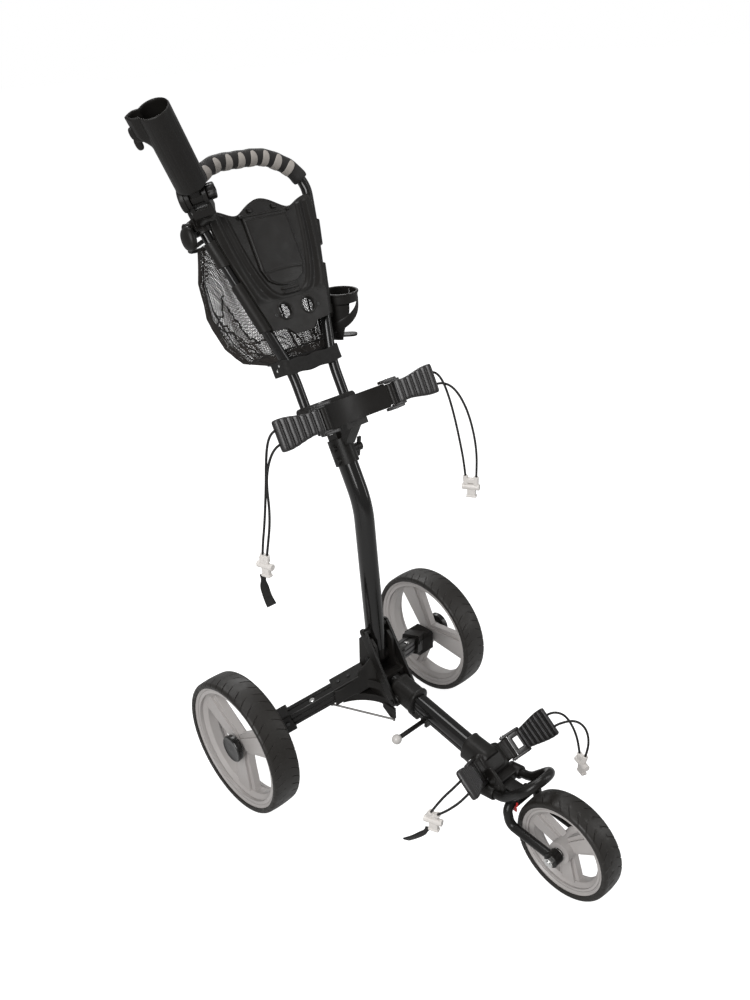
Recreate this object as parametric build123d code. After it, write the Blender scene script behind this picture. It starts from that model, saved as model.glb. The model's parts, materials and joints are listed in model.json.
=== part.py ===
"""Three-wheel push cart for a golf bag, unfolded and empty.

Millimetres. +Z is up, the front of the cart is toward -Y and X runs across it.
The origin lies on the ground under the middle of the cart's box.
"""

import math
import os
from dataclasses import dataclass

from build123d import *

os.makedirs("parts", exist_ok=True)

# Ground layout
HALF_TRACK = 260.0
WHEELBASE = 578.0
REAR_AXLE_Y = 229.0
FRONT_AXLE_Y = REAR_AXLE_Y - WHEELBASE

# Clearances
RUN = 0.05  # pin in a turning hole, on the radius
SEAT = 0.02  # piece seated in another of the same body
SLIDE = 0.3  # sliding sleeve on its beam, and neighbours that pass each other


@dataclass(frozen=True)
class Wheel:
    """Sizes of one wheel about its axle, which runs along X."""

    tyre_r: float
    tyre_half: float
    lip_r: float
    lip_half: float
    seat_r: float
    dish_r: float
    web_half: float
    hub_r: float
    hub_half: float
    spoke_root: float
    spoke_tip: float
    axle_r: float
    bearing_r: float
    bearing_w: float


REAR = Wheel(140, 30, 127.5, 26, 115, 107, 9, 25, 25, 36, 62, 6, 11, 7)
FRONT = Wheel(96, 24, 83, 21, 73, 66, 8, 20, 25, 26, 42, 5, 9.5, 6)
SPOKES = 3
SPOKE_PHASE = {"left": 31.0, "right": 60.0, "front": 20.0}
LIP_T = 3.0
SHOULDER = 5.0
CROWN = 1.5
RIM_EDGE = 2.5
SPOKE_SINK = 3.0
SPOKE_CREST = 0.62
BEARING_INSET = 2.0
BEARING_STEP = 2.5
HUB_CAP_R = 22.0
HUB_CAP_T = 6.5

# Rear legs, given on the +X side
LEG_ROOT = Vector(50, REAR_AXLE_Y - 90, 214)
LEG_END = Vector(HALF_TRACK - 55, REAR_AXLE_Y - 12, 146)
LEG_W = 28.0
LEG_H = 30.0
LEG_TAIL = 18.0
SOCKET_WALL = 5.0
BRACKET_FACE_X = HALF_TRACK - 29.0
BRACKET_BACK_X = HALF_TRACK - 68.0
BRACKET_GRIP = 48.0
AXLE_ROOT_X = HALF_TRACK - 47.0
AXLE_BLIND = 23.0

# Column and its pivot in the housing
PIVOT_Y = 117.5
PIVOT_Z = 262.0
PIVOT_PIN_R = 5.0
COLUMN_A = 17.0
COLUMN_B = 21.0
COLUMN_WALL = 2.0
COLUMN_BASE = 23.0
LOWER_LEAN = 87.7
UPPER_LEAN = 64.8
BEND_Z = 591.0
BEND_Y = PIVOT_Y + (BEND_Z - PIVOT_Z) / math.tan(math.radians(LOWER_LEAN))
BEND_R = 170.0
CHEEK_IN = 18.5
CHEEK_OUT = 24.5
CHEEK_TOP = 54.0

# Front beam, sleeve and struts
BEAM_Y = 82.0
BEAM_Z = 223.4
BEAM_END_Y = FRONT_AXLE_Y + 184.691
BEAM_END_Z = 170.146
BEAM_W = 30.0
BEAM_H = 40.0
BEAM_LENGTH = math.hypot(BEAM_Y - BEAM_END_Y, BEAM_Z - BEAM_END_Z)
BEAM_SLOPE = math.atan2(BEAM_Z - BEAM_END_Z, BEAM_Y - BEAM_END_Y)
SLEEVE_START = 22.0
SLEEVE_LENGTH = 56.0
SLEEVE_WALL = 6.0
STRUT_TOP = 65.0
STRUT_FOOT_Y = 47.2
STRUT_FOOT_Z = 201.8
STRUT_IN = 26.2
STRUT_T = 5.0
STRUT_W = 18.0
STRUT_PIN_R = 4.0
LEVER_S = 100.0
LEVER_DROP = 31.0
LEVER_REACH = 75.0
LEVER_R = 4.5
BALL_R = 9.5
LEVER_GRIP = 5.0

# Front bracket, bag rest and fork
CRADLE_Y = FRONT_AXLE_Y + 167.5
CRADLE_Z = 180.5
CRADLE_LEAN = 41.9
LOOP_R = 8.5
LOOP_HALF = 36.0
LOOP_SEAT_Y = FRONT_AXLE_Y + 153.0
LOOP_SEAT_Z = 146.0
LOOP_KNEE_Y = FRONT_AXLE_Y + 111.0
LOOP_KNEE_Z = 152.0
LOOP_TOP_Y = FRONT_AXLE_Y + 55.0
LOOP_TOP_Z = 208.0
LOOP_BENDS = [40, 34, 34, 40]
LOOP_WALL = 1.8
LOOP_SOCKET = 4.0
FORK_SEAT_HALF = 22.0
FORK_SEAT_BACK_Y = FRONT_AXLE_Y + 159.0
FORK_SEAT_TOP = 172.0
FORK_SEAT_FRONT = 9.5
CLIP_W = 2.2
CLIP_WALL = 3.2
FORK_R = 8.5
FORK_HALF = 40.0
FORK_KNEE_Y = FRONT_AXLE_Y + 95.0
FORK_KNEE_Z = 106.0
FORK_CROWN_Y = FRONT_AXLE_Y + 103.0
FORK_CROWN_Z = 141.0
FORK_EYE_R = 13.0
FORK_EYE_HALF = 9.0

# Collar, cradle band and yoke, measured along and off the upper column
COLLAR_LOW = 80.0
COLLAR_HIGH = 128.0
COLLAR_WALL = 4.0
HINGE_T = 165.0
HINGE_PIN_R = 6.0
LUG_HALF = 13.0
LUG_R = 14.0
BAND_LOW = 150.0
BAND_HIGH = 193.0
BAND_N = 72.0
BAND_T = 8.0

# Bag arms
UPPER_HINGE_X = 77.0
UPPER_HINGE_N = 90.0
LOWER_HINGE_X = 43.0
LOWER_BARREL = 18.6
ARM_PIN_R = 2.5
KNUCKLE_R = 7.0
UPPER_ARM = 104.0
LOWER_ARM = 92.0
UPPER_ARM_REST = 2.0
LOWER_ARM_REST = 38.0
ARM_T = 9.0
ARM_TIP_HALF = 29.0
ARM_WAIST_HALF = 21.0
RIB_COUNT = 7
RIB_RISE = 3.0
CORD_R = 2.2
CORD_HOLE_V = 12.0
CORD_HOLE_DEEP = 12.3
TOGGLE_W = 30.0
TOGGLE_D = 15.0
TOGGLE_H = 44.0
TOGGLE_GRIP = 8.0
TAB_W = 17.0
TAB_T = 4.0

# Handle
TUBE_R = 9.5
TUBE_HALF = 45.6
TUBE_FOOT_T = 184.0
TUBE_SPREAD_T = 266.0
TUBE_FLARE_X = 112.0
TUBE_FLARE_T = 517.0
TUBE_ELBOW_X = 125.5
TUBE_ELBOW_T = 578.0
ARCH_SHOULDER_X = 106.0
ARCH_SHOULDER_T = 614.0
ARCH_X = 56.0
ARCH_T = 643.0
TUBE_WALL = 1.5
GRIP_R = 15.0
GRIP_START = 596.0
YOKE_HALF = 59.0
YOKE_HIGH = 201.0
YOKE_N = 14.0
YOKE_GAP = 6.5  # clears the lug when the handle is folded right over
CONSOLE_N = 10.0
CONSOLE_T = 7.0
CONSOLE_TOP = 567.0
CONSOLE_CREST = [(30, 557), (58, 545), (84, 555), (112, 556)]
CONSOLE_SIDE = [(107, 505), (90, 440), (71, 372), (63, 342), (34, 340), (20, 327)]
CONSOLE_SHELLS = [(345, 436), (468, 514)]
SHELL_WALL = 4.0
HOLE_X = 26.0
HOLE_T = 370.0
HOLE_R = 13.0
HINGE_BARREL_R = 3.2
LID_PIN_R = 1.5
LID_HALF = 47.0
LID_TOP = 540.0
LID_BOTTOM = 412.0
LID_T = 3.0
LID_GAP = 0.4
TRAY_LOW = 263.0
TRAY_HIGH = 288.0
TRAY_REAR = -34.0
NET_WALL = 1.6
RIM_R = 3.5
RIM_T = 524.5
CUP_X = 124.0
CUP_Y = BEND_Y + 170.286
CUP_Z = BEND_Z + 256.0
CUP_R = 33.0
CUP_H = 86.0
CUP_WALL = 2.5
STRIP_N = -8.0

# Umbrella holder
CLAMP_T = 544.0
CLAMP_HALF = 13.0
HOLDER_R = 26.5
HOLDER_WALL = 3.2
GRIP_SCREW_DROP = 36.0
HOLDER_START = 20.0
HOLDER_FLOOR = 5.0
TILT_EAR_IN = 11.0
TILT_EAR_OUT = 18.0
TILT_EAR_R = 18.0
TILT_PIN_R = 4.0
SWIVEL_POST_R = 6.0
SWIVEL_SEAT_N = 22.0
CLAMP_WALL = 7.0
CLAMP_SIDE = 20.0
SCREW_N = 2.0
SCREW_R = 3.0
HOLDER_LENGTH = 150.0
HOLDER_FOOT = Vector(-145.5, BEND_Y + 186.986, BEND_Z + 549)
HOLDER_AXIS = Vector(-0.48, -0.21, 0.85).normalized()
TILT_HINT = Vector(0.85, -0.52, -0.07)
SWIVEL_X = -124.0
SWIVEL_T = 552.0


def lean_plane(y: float, z: float, lean: float) -> Plane:
    """Plane whose local axes are X, the leaning direction and the forward normal."""
    angle = math.radians(lean)
    return Plane(origin=(0, y, z), x_dir=(1, 0, 0), z_dir=(0, -math.sin(angle), math.cos(angle)))


COLUMN = lean_plane(PIVOT_Y, PIVOT_Z, LOWER_LEAN)
HANDLE = lean_plane(BEND_Y, BEND_Z, UPPER_LEAN)
CRADLE = lean_plane(CRADLE_Y, CRADLE_Z, CRADLE_LEAN)
BEAM = Plane(
    origin=(0, BEAM_Y, BEAM_Z),
    x_dir=(1, 0, 0),
    z_dir=(0, -math.cos(BEAM_SLOPE), -math.sin(BEAM_SLOPE)),
)
LEG_DIR = (LEG_END - LEG_ROOT).normalized()
LEG_LENGTH = (LEG_END - LEG_ROOT).length
LEG = Plane(origin=LEG_ROOT, x_dir=Vector(0, 0, 1).cross(LEG_DIR), z_dir=LEG_DIR)


def block(x: tuple, y: tuple, z: tuple) -> Part:
    """Box between two values on each axis."""
    size = [b - a for a, b in (x, y, z)]
    middle = [(a + b) / 2 for a, b in (x, y, z)]
    return Pos(*middle) * Box(*size)


def bar(start, end, radius: float) -> Part:
    """Round bar from one point to another."""
    a, b = Vector(start), Vector(end)
    run = b - a
    return Plane(origin=a, z_dir=run).location * (Pos(0, 0, run.length / 2) * Cylinder(radius, run.length))


def ring(start, end, outer: float, inner: float) -> Part:
    """Hollow round bar from one point to another."""
    return bar(start, end, outer) - bar(start, end, inner)


def across(points: list, low: float, high: float) -> Part:
    """Outline in Y and Z, extruded along X."""
    return extrude(Plane.YZ.offset(low) * make_face(Polyline(*points, close=True)), amount=high - low)


def plate(points: list, low: float, high: float) -> Part:
    """Outline in local x and y, extruded along local z."""
    return extrude(Plane.XY.offset(low) * make_face(Polyline(*points, close=True)), amount=high - low)


def pipe(points: list, radii, radius: float, bore: float = 0.0) -> Part:
    """Round tube along a path of straight runs and tangent arcs."""
    path = FilletPolyline(*points, radius=radii)
    start = Plane(origin=points[0], z_dir=Vector(points[1]) - Vector(points[0]))
    section = Circle(radius) - Circle(bore) if bore else Circle(radius)
    return sweep(start * section, path=path)


def mirrored(part: Part) -> Part:
    """The same piece on the other side of the cart."""
    return mirror(part, about=Plane.YZ)


def group(solids: list) -> Compound:
    """Several separate solids kept as one node."""
    return Compound(children=list(solids))


def on_handle(x: float, t: float, n: float) -> Vector:
    """Point given across, along and in front of the handle's plane."""
    return HANDLE.from_local_coords(Vector(x, t, n))


# Wheels


def place_wheel(part: Part, middle_x: float, axle_y: float, axle_z: float) -> Part:
    """Moves a piece made about the origin to its axle."""
    return Pos(middle_x, axle_y, axle_z) * part


def tyre(w: Wheel) -> Part:
    """Foam tyre, turned about the axle, seated between the lips of its rim."""
    inner = w.lip_half - LIP_T - SLIDE
    side = [
        (inner, w.seat_r + SEAT),
        (inner, w.lip_r + SLIDE),
        (w.tyre_half, w.lip_r + SLIDE),
        (w.tyre_half, w.tyre_r - SHOULDER),
        (w.tyre_half - SHOULDER, w.tyre_r - CROWN),
    ]
    near, far = side[-1], (-side[-1][0], side[-1][1])
    face = make_face(
        Polyline(*side)
        + ThreePointArc(near, (0, w.tyre_r), far)
        + Polyline(far, *[(-x, r) for x, r in reversed(side[:-1])], side[0])
    )
    return revolve(face, axis=Axis.X)


def rim(w: Wheel, phase: float) -> Part:
    """Dished rim with a hub and wide bevelled spokes."""
    lip_in = w.lip_half - LIP_T
    section = [
        (-w.lip_half, w.lip_r),
        (-lip_in, w.lip_r),
        (-lip_in, w.seat_r),
        (lip_in, w.seat_r),
        (lip_in, w.lip_r),
        (w.lip_half, w.lip_r),
        (w.lip_half, w.lip_r - RIM_EDGE),
        (w.web_half, w.dish_r),
        (-w.web_half, w.dish_r),
        (-w.lip_half, w.lip_r - RIM_EDGE),
    ]
    body = revolve(make_face(Polyline(*section, close=True)), axis=Axis.X)
    body += bar((-w.hub_half, 0, 0), (w.hub_half, 0, 0), w.hub_r)
    reach = w.dish_r + SPOKE_SINK
    for i in range(SPOKES):
        for half, share in ((w.web_half - 2, 1.0), (w.web_half + 3, SPOKE_CREST)):
            root, tip = share * w.spoke_root / 2, share * w.spoke_tip / 2
            spoke = across([(0, -root), (reach, -tip), (reach, tip), (0, root)], -half, half)
            body += Rot(phase + 360 / SPOKES * i, 0, 0) * spoke
    body -= bar((-w.hub_half, 0, 0), (w.hub_half, 0, 0), w.bearing_r - BEARING_STEP)
    seat = w.hub_half - BEARING_INSET - w.bearing_w
    for side in (-1, 1):
        body -= bar((side * seat, 0, 0), (side * w.hub_half, 0, 0), w.bearing_r + SEAT)
    return body


def bearings(w: Wheel) -> list:
    """The two bearings in a hub, each as one ring."""
    inner = w.hub_half - BEARING_INSET - w.bearing_w
    outer = w.hub_half - BEARING_INSET
    return [ring((s * inner, 0, 0), (s * outer, 0, 0), w.bearing_r, w.axle_r + RUN) for s in (-1, 1)]


def hub_cap(w: Wheel) -> Part:
    """Proud disc on the outer end of a rear hub, on the +X side."""
    cap = bar((w.hub_half, 0, 0), (w.hub_half + HUB_CAP_T, 0, 0), HUB_CAP_R)
    return chamfer(cap.edges().group_by(Axis.X)[-1], 1.2)


def axles() -> list:
    """Two rear stub axles with shoulders and clips, and the front axle with its nuts."""
    w = REAR
    mid = Vector(0, REAR_AXLE_Y, w.tyre_r)
    inner = HALF_TRACK - w.hub_half + BEARING_INSET - SLIDE
    clip = HALF_TRACK + w.hub_half - BEARING_INSET + SLIDE
    stub = bar(mid + Vector(AXLE_ROOT_X, 0, 0), mid + Vector(clip, 0, 0), w.axle_r)
    stub += bar(mid + Vector(BRACKET_FACE_X, 0, 0), mid + Vector(inner, 0, 0), w.axle_r + 3)
    stub += bar(mid + Vector(clip, 0, 0), mid + Vector(clip + 1.2, 0, 0), w.axle_r + 3)
    out = [stub, mirrored(stub)]
    w = FRONT
    mid = Vector(0, FRONT_AXLE_Y, w.tyre_r)
    eye_in, eye_out = FORK_HALF - FORK_EYE_HALF, FORK_HALF + FORK_EYE_HALF
    front = bar(mid - Vector(eye_out + 9, 0, 0), mid + Vector(eye_out + 9, 0, 0), w.axle_r)
    for side in (-1, 1):
        spacer_in = Vector(side * (w.hub_half - BEARING_INSET + SLIDE), 0, 0)
        front += bar(mid + spacer_in, mid + Vector(side * eye_in, 0, 0), 8)
        nut = Plane(origin=mid + Vector(side * eye_out, 0, 0), z_dir=(side, 0, 0))
        front += extrude(nut * RegularPolygon(9, 6), amount=7)
    out.append(front)
    return out


# Frame


def leg_section(width: float, height: float, grooves: bool) -> Sketch:
    """Rounded section of the rear leg, with long grooves on its front and top."""
    section = RectangleRounded(width, height, 3)
    if grooves:
        for y in (-6.5, 4.5):
            section -= Pos(-width / 2, y) * Rectangle(3, 4)
        section -= Pos(0, height / 2) * Rectangle(6, 3)
    return section


def along_leg(section: Sketch, start: float, end: float) -> Part:
    """Section carried along the leg's line."""
    return extrude(LEG.offset(start) * section, amount=end - start)


def rear_leg() -> Part:
    """Grooved leg on the +X side, from the housing to the wheel bracket."""
    return along_leg(leg_section(LEG_W, LEG_H, True), -LEG_TAIL, LEG_LENGTH)


def leg_room(start: float, end: float) -> Part:
    """Space that the leg takes inside a socket."""
    return along_leg(leg_section(LEG_W + 2 * SEAT, LEG_H + 2 * SEAT, False), start, end)


def wheel_bracket() -> Part:
    """Socket on the leg's end with the block that carries the stub axle, on the +X side."""
    axle_z = REAR.tyre_r
    socket = along_leg(
        leg_section(LEG_W + 2 * SOCKET_WALL, LEG_H + 2 * SOCKET_WALL, False),
        LEG_LENGTH - BRACKET_GRIP,
        LEG_LENGTH + 2,
    )
    boss_y, boss_z = (REAR_AXLE_Y - 37, REAR_AXLE_Y + 13), (axle_z - 22, axle_z + 25)
    boss = block((BRACKET_BACK_X, BRACKET_FACE_X), boss_y, boss_z)
    boss = fillet(boss.edges().filter_by(Axis.X), 7)
    body = socket + boss
    body -= leg_room(-LEG_TAIL, LEG_LENGTH + SEAT)
    axle = Vector(AXLE_ROOT_X - AXLE_BLIND, REAR_AXLE_Y, axle_z)
    end = Vector(HALF_TRACK, REAR_AXLE_Y, axle_z)
    return body - bar(axle, end, REAR.axle_r + SEAT)


def beam_room(length: float) -> Part:
    """Space that the front beam takes inside a socket."""
    half_w, half_h = BEAM_W / 2 + SEAT, BEAM_H / 2 + SEAT
    return BEAM.location * block((-half_w, half_w), (-half_h, half_h), (0, length))


def housing_half() -> Part:
    """Shell on the +X side: cheek beside the column, beam seat, leg socket and webs."""
    y, z = PIVOT_Y, PIVOT_Z
    front = BEAM_Y - 14
    cheek = [
        (y + 23, z + CHEEK_TOP - 12),
        (y + 11, z + CHEEK_TOP),
        (y - 11, z + CHEEK_TOP),
        (y - 23, z + CHEEK_TOP - 12),
        (y - 28, z),
        (front + 16, z - 11),
        (front, z - 15),
        (front, z - 88),
        (y + 30, z - 84),
        (y + 42, z - 60),
        (y + 27, z - 20),
    ]
    floor = [
        (front, z - 15),
        (front + 14, z - 16),
        (y - 25, z - 24),
        (y + 30, z - 26),
        (y + 42, z - 60),
        (y + 30, z - 84),
        (front, z - 88),
    ]
    body = across(cheek, CHEEK_IN, CHEEK_OUT) + across(floor, SEAT, CHEEK_OUT)
    socket = along_leg(
        leg_section(LEG_W + 2 * SOCKET_WALL, LEG_H + 2 * SOCKET_WALL, False), -LEG_TAIL - 14, 40
    )
    body += socket - LEG.location * block((-60, 60), (-60, -5), (4, 60))
    lug = [
        (front + 12, z - 80),
        (front - 20, z - 80),
        (front - 20, z - 104),
        (front - 8, z - 106),
        (front + 12, z - 92),
    ]
    body += across(lug, CHEEK_OUT - 3, CHEEK_OUT + 2)
    for low, high, tip, waist in ((z - 84, z - 68, 78, 42), (z - 54, z - 36, 62, 37)):
        web = make_face(
            Polyline((20, front + 4), (CHEEK_OUT, front + 4))
            + ThreePointArc((CHEEK_OUT, front + 4), (waist, y - 6), (tip, y + 21))
            + Polyline((tip, y + 21), (tip - 6, y + 36), (20, y + 30), (20, front + 4))
        )
        body += extrude(Plane.XY.offset(low) * web, amount=high - low)
    body -= beam_room(BEAM_LENGTH)
    body -= leg_room(-LEG_TAIL - SEAT, LEG_LENGTH)
    return body - bar((0, y, z), (60, y, z), PIVOT_PIN_R + SEAT)


def frame_screws() -> list:
    """Screw heads on the leg sockets and the pivot bolt through the cheeks."""
    heads = []
    top = LEG_H / 2 + SOCKET_WALL
    for s in (2, 24):
        at = LEG.from_local_coords(Vector(-2, top, s))
        head = bar(at, at + LEG.y_dir * 1.8, 3.6)
        heads += [head, mirrored(head)]
    face = -LEG_W / 2 - SOCKET_WALL
    for s in (LEG_LENGTH - 38, LEG_LENGTH - 27):
        at = LEG.from_local_coords(Vector(face, 3, s))
        head = bar(at, at - LEG.x_dir * 1.8, 3.6)
        heads += [head, mirrored(head)]
    y, z = PIVOT_Y, PIVOT_Z
    bolt = bar((-CHEEK_OUT, y, z), (CHEEK_OUT, y, z), PIVOT_PIN_R)
    for side in (-1, 1):
        bolt += bar((side * CHEEK_OUT, y, z), (side * (CHEEK_OUT + 1.2), y, z), 7)
    return heads + [bolt]


def leg_pins() -> list:
    """Bright domed pins on the top of the legs."""
    at = LEG.from_local_coords(Vector(-8, LEG_H / 2, 86))
    pin = bar(at, at + LEG.y_dir * 3, 5.5)
    pin = chamfer(pin.faces().sort_by(Axis.Z)[-1].edges(), 1.2)
    return [pin, mirrored(pin)]


def stay_rods() -> list:
    """Thin steel stays from the underside of the legs to the front of the housing."""
    start = LEG.from_local_coords(Vector(-LEG_W / 2 + 4, -LEG_H / 2 - 2.2, 56))
    end = Vector(CHEEK_OUT - 0.5, BEAM_Y - 30, PIVOT_Z - 106 - 2.8)
    rod = bar(start, end, 2) + bar(start - Vector(0, 0, 0.2), start + LEG.y_dir * 2, 4)
    rod += bar(end - Vector(0, 0, 2.4), end + Vector(0, 0, 2.6), 2.5)
    return [rod, mirrored(rod)]


def along_beam(section: Sketch, start: float, end: float) -> Part:
    """Section carried along the front beam."""
    return extrude(BEAM.offset(start) * section, amount=end - start)


def front_beam() -> Part:
    """Grooved extrusion from the housing to the front bracket."""
    section = RectangleRounded(BEAM_W, BEAM_H, 6)
    for side in (-1, 1):
        for y in (-8, 0, 8):
            section -= Pos(side * BEAM_W / 2, y) * Rectangle(2.4, 3)
    return along_beam(section, 0, BEAM_LENGTH)


def on_beam(x: float, y: float, s: float) -> Vector:
    """Point given across, above and along the beam."""
    return BEAM.from_local_coords(Vector(x, y, s))


def slide_sleeve() -> Part:
    """Sleeve that slides on the beam, with ears for the struts and a fork for the lock lever."""
    outer = RectangleRounded(BEAM_W + 2 * SLEEVE_WALL, BEAM_H + 2 * SLEEVE_WALL, 9)
    start, end = SLEEVE_START, SLEEVE_START + SLEEVE_LENGTH
    body = along_beam(outer, start, end)
    ear = STRUT_IN - SLIDE
    body += bar((-ear, STRUT_FOOT_Y, STRUT_FOOT_Z), (ear, STRUT_FOOT_Y, STRUT_FOOT_Z), 12)
    low = -BEAM_H / 2 - SLIDE
    fork = block((-9, 9), (-LEVER_DROP - 7, low - 0.4), (end - 6, LEVER_S + 13))
    fork -= block((-10, 10), (-LEVER_DROP - 8, low - 3.4), (LEVER_S - 6, LEVER_S + 6))
    body += BEAM.location * fork
    hollow = RectangleRounded(BEAM_W + 2 * SLIDE, BEAM_H + 2 * SLIDE, 6 + SLIDE)
    body -= along_beam(hollow, -10, LEVER_S + 40)
    pin = ARM_PIN_R + 0.5
    return body - bar(on_beam(0, -LEVER_DROP, end - 10), on_beam(0, -LEVER_DROP, LEVER_S + 20), pin + RUN)


def lock_lever() -> Part:
    """Lever under the sleeve: barrel on its pin and the arm out to the ball."""
    barrel = bar(on_beam(0, -LEVER_DROP, LEVER_S - 5.6), on_beam(0, -LEVER_DROP, LEVER_S + 5.6), 6)
    pin = bar(on_beam(0, -LEVER_DROP, LEVER_S - 12), on_beam(0, -LEVER_DROP, LEVER_S + 13), ARM_PIN_R + 0.5)
    reach = -LEVER_REACH + BALL_R - LEVER_GRIP + SEAT
    arm = bar(on_beam(0, -LEVER_DROP, LEVER_S), on_beam(reach, -LEVER_DROP, LEVER_S), LEVER_R)
    return barrel + pin + arm


def lock_knob() -> Part:
    """Ball on the end of the lock lever."""
    at = on_beam(-LEVER_REACH, -LEVER_DROP, LEVER_S)
    bottom = on_beam(-LEVER_REACH + BALL_R - LEVER_GRIP, -LEVER_DROP, LEVER_S)
    ball = Pos(*at) * Rot(0, 0, 180) * Sphere(BALL_R)
    return ball - bar(bottom, on_beam(0, -LEVER_DROP, LEVER_S), LEVER_R + SEAT)


STRUT_HEAD = COLUMN.from_local_coords(Vector(0, STRUT_TOP, 0))


def fold_strut() -> Part:
    """Flat strut on the +X side, from the column's trunnion to the sleeve's ear."""
    head = Vector(0, STRUT_HEAD.Y, STRUT_HEAD.Z)
    foot = Vector(0, STRUT_FOOT_Y, STRUT_FOOT_Z)
    run = (foot - head).length
    flat = Plane(origin=head + Vector(STRUT_IN, 0, 0), x_dir=foot - head, z_dir=(1, 0, 0))
    shape = Pos(run / 2, 0) * SlotCenterToCenter(run, STRUT_W) - Circle(STRUT_PIN_R + RUN)
    body = extrude(flat * shape, amount=STRUT_T)
    rivet = foot + Vector(STRUT_IN + STRUT_T, 0, 0)
    return body + bar(rivet, rivet + Vector(2.4, 0, 0), 5)


def front_bracket() -> Part:
    """Casting on the beam's end: sleeve, lower cradle block with hinge barrels, rest and fork seats."""
    wall = SLEEVE_WALL
    outer = RectangleRounded(BEAM_W + 2 * wall, BEAM_H + 2 * wall, 8)
    body = along_beam(outer, BEAM_LENGTH - 44, BEAM_LENGTH + 4)
    half = LOWER_HINGE_X - KNUCKLE_R - 1
    body += CRADLE.location * block((-half, half), (-26, 26), (-34, 2))
    for side in (-1, 1):
        x = side * LOWER_HINGE_X
        barrel = bar((x, -LOWER_BARREL, 0), (x, LOWER_BARREL, 0), KNUCKLE_R)
        reach = tuple(sorted((x - side * 13, x)))
        body += CRADLE.location * (barrel + block(reach, (-LOWER_BARREL, LOWER_BARREL), (-6, 4)))
    seat_low = FORK_CROWN_Z - FORK_R - 4
    seat_y = (FORK_CROWN_Y - FORK_SEAT_FRONT, FORK_SEAT_BACK_Y)
    body += block((-FORK_SEAT_HALF, FORK_SEAT_HALF), seat_y, (seat_low, FORK_SEAT_TOP))
    tie_y, tie_z = (LOOP_SEAT_Y - 18, LOOP_SEAT_Y + 12), (LOOP_SEAT_Z - 9, LOOP_SEAT_Z + 14)
    body += block((-LOOP_HALF, LOOP_HALF), tie_y, tie_z)
    for side in (-1, 1):
        x = side * LOOP_HALF
        socket = (x, LOOP_SEAT_Y + 6, LOOP_SEAT_Z - 0.9)
        body += bar(socket, (x, LOOP_SEAT_Y - 22, LOOP_SEAT_Z + 3.2), LOOP_R + LOOP_SOCKET)
    for side in (-1, 1):
        x = side * LOWER_HINGE_X
        body -= CRADLE.location * bar((x, -60, 0), (x, 60, 0), ARM_PIN_R + RUN)
    body -= beam_room(BEAM_LENGTH + SEAT)
    body -= bar((-80, FORK_CROWN_Y, FORK_CROWN_Z), (80, FORK_CROWN_Y, FORK_CROWN_Z), FORK_R + SEAT)
    for side in (-1, 1):
        start, knee = [Vector(side * LOOP_HALF, y, z) for x, y, z in LOOP_PATH[:2]]
        body -= bar(start, knee, LOOP_R + SEAT)
    return body


LOOP_PATH = [
    (LOOP_HALF, LOOP_SEAT_Y, LOOP_SEAT_Z),
    (LOOP_HALF, LOOP_KNEE_Y, LOOP_KNEE_Z),
    (LOOP_HALF, LOOP_TOP_Y, LOOP_TOP_Z),
    (-LOOP_HALF, LOOP_TOP_Y, LOOP_TOP_Z),
    (-LOOP_HALF, LOOP_KNEE_Y, LOOP_KNEE_Z),
    (-LOOP_HALF, LOOP_SEAT_Y, LOOP_SEAT_Z),
]


def bag_rest_loop() -> Part:
    """U-shaped tube in front of the lower cradle, under the bag's base."""
    return pipe(LOOP_PATH, LOOP_BENDS, LOOP_R, LOOP_R - LOOP_WALL)


def front_fork() -> Part:
    """Inverted-U tube over the front wheel, bent forward to the axle eyes."""
    points = [
        (FORK_HALF, FRONT_AXLE_Y, FRONT.tyre_r),
        (FORK_HALF, FORK_KNEE_Y, FORK_KNEE_Z),
        (FORK_HALF, FORK_CROWN_Y, FORK_CROWN_Z),
    ]
    points += [(-x, y, z) for x, y, z in reversed(points)]
    body = pipe(points, [16, 14, 14, 16], FORK_R)
    for side in (-1, 1):
        at = Vector(side * FORK_HALF, FRONT_AXLE_Y, FRONT.tyre_r)
        eye = Vector(FORK_EYE_HALF, 0, 0)
        body += bar(at - eye, at + eye, FORK_EYE_R)
        body -= bar(at - Vector(30, 0, 0), at + Vector(30, 0, 0), FRONT.axle_r + SEAT)
    return body


def fork_tab() -> Part:
    """Red clip that hangs on the fork's crown beside its seat."""
    far, near = -FORK_SEAT_HALF - CLIP_W - SLIDE, -FORK_SEAT_HALF - SLIDE
    start = Vector(far, FORK_CROWN_Y, FORK_CROWN_Z)
    clip = ring(start, start + Vector(CLIP_W, 0, 0), FORK_R + CLIP_WALL, FORK_R + SEAT)
    mouth_y, mouth_z = (FORK_CROWN_Y - 20, FORK_CROWN_Y + 20), (FORK_CROWN_Z + 3, FORK_CROWN_Z + 30)
    clip -= block((far - 5, near + 5), mouth_y, mouth_z)
    tail = block(
        (far, near),
        (FORK_CROWN_Y - 9, FORK_CROWN_Y + 9),
        (FORK_CROWN_Z - FORK_R - 9, FORK_CROWN_Z - FORK_R - 2),
    )
    return clip + tail


# Column


def column_tube() -> Part:
    """Oval tube, bent once, from just above its pivot into the collar."""
    start = COLUMN.from_local_coords(Vector(0, COLUMN_BASE, 0))
    end = HANDLE.from_local_coords(Vector(0, COLLAR_HIGH - 4, 0))
    path = FilletPolyline(start, (0, BEND_Y, BEND_Z), end, radius=BEND_R)
    section = Ellipse(COLUMN_A, COLUMN_B) - Ellipse(COLUMN_A - COLUMN_WALL, COLUMN_B - COLUMN_WALL)
    body = sweep(Plane(origin=start, x_dir=(1, 0, 0), z_dir=COLUMN.y_dir) * section, path=path)
    return body - bar(STRUT_HEAD - Vector(40, 0, 0), STRUT_HEAD + Vector(40, 0, 0), 7 + SEAT)


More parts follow.
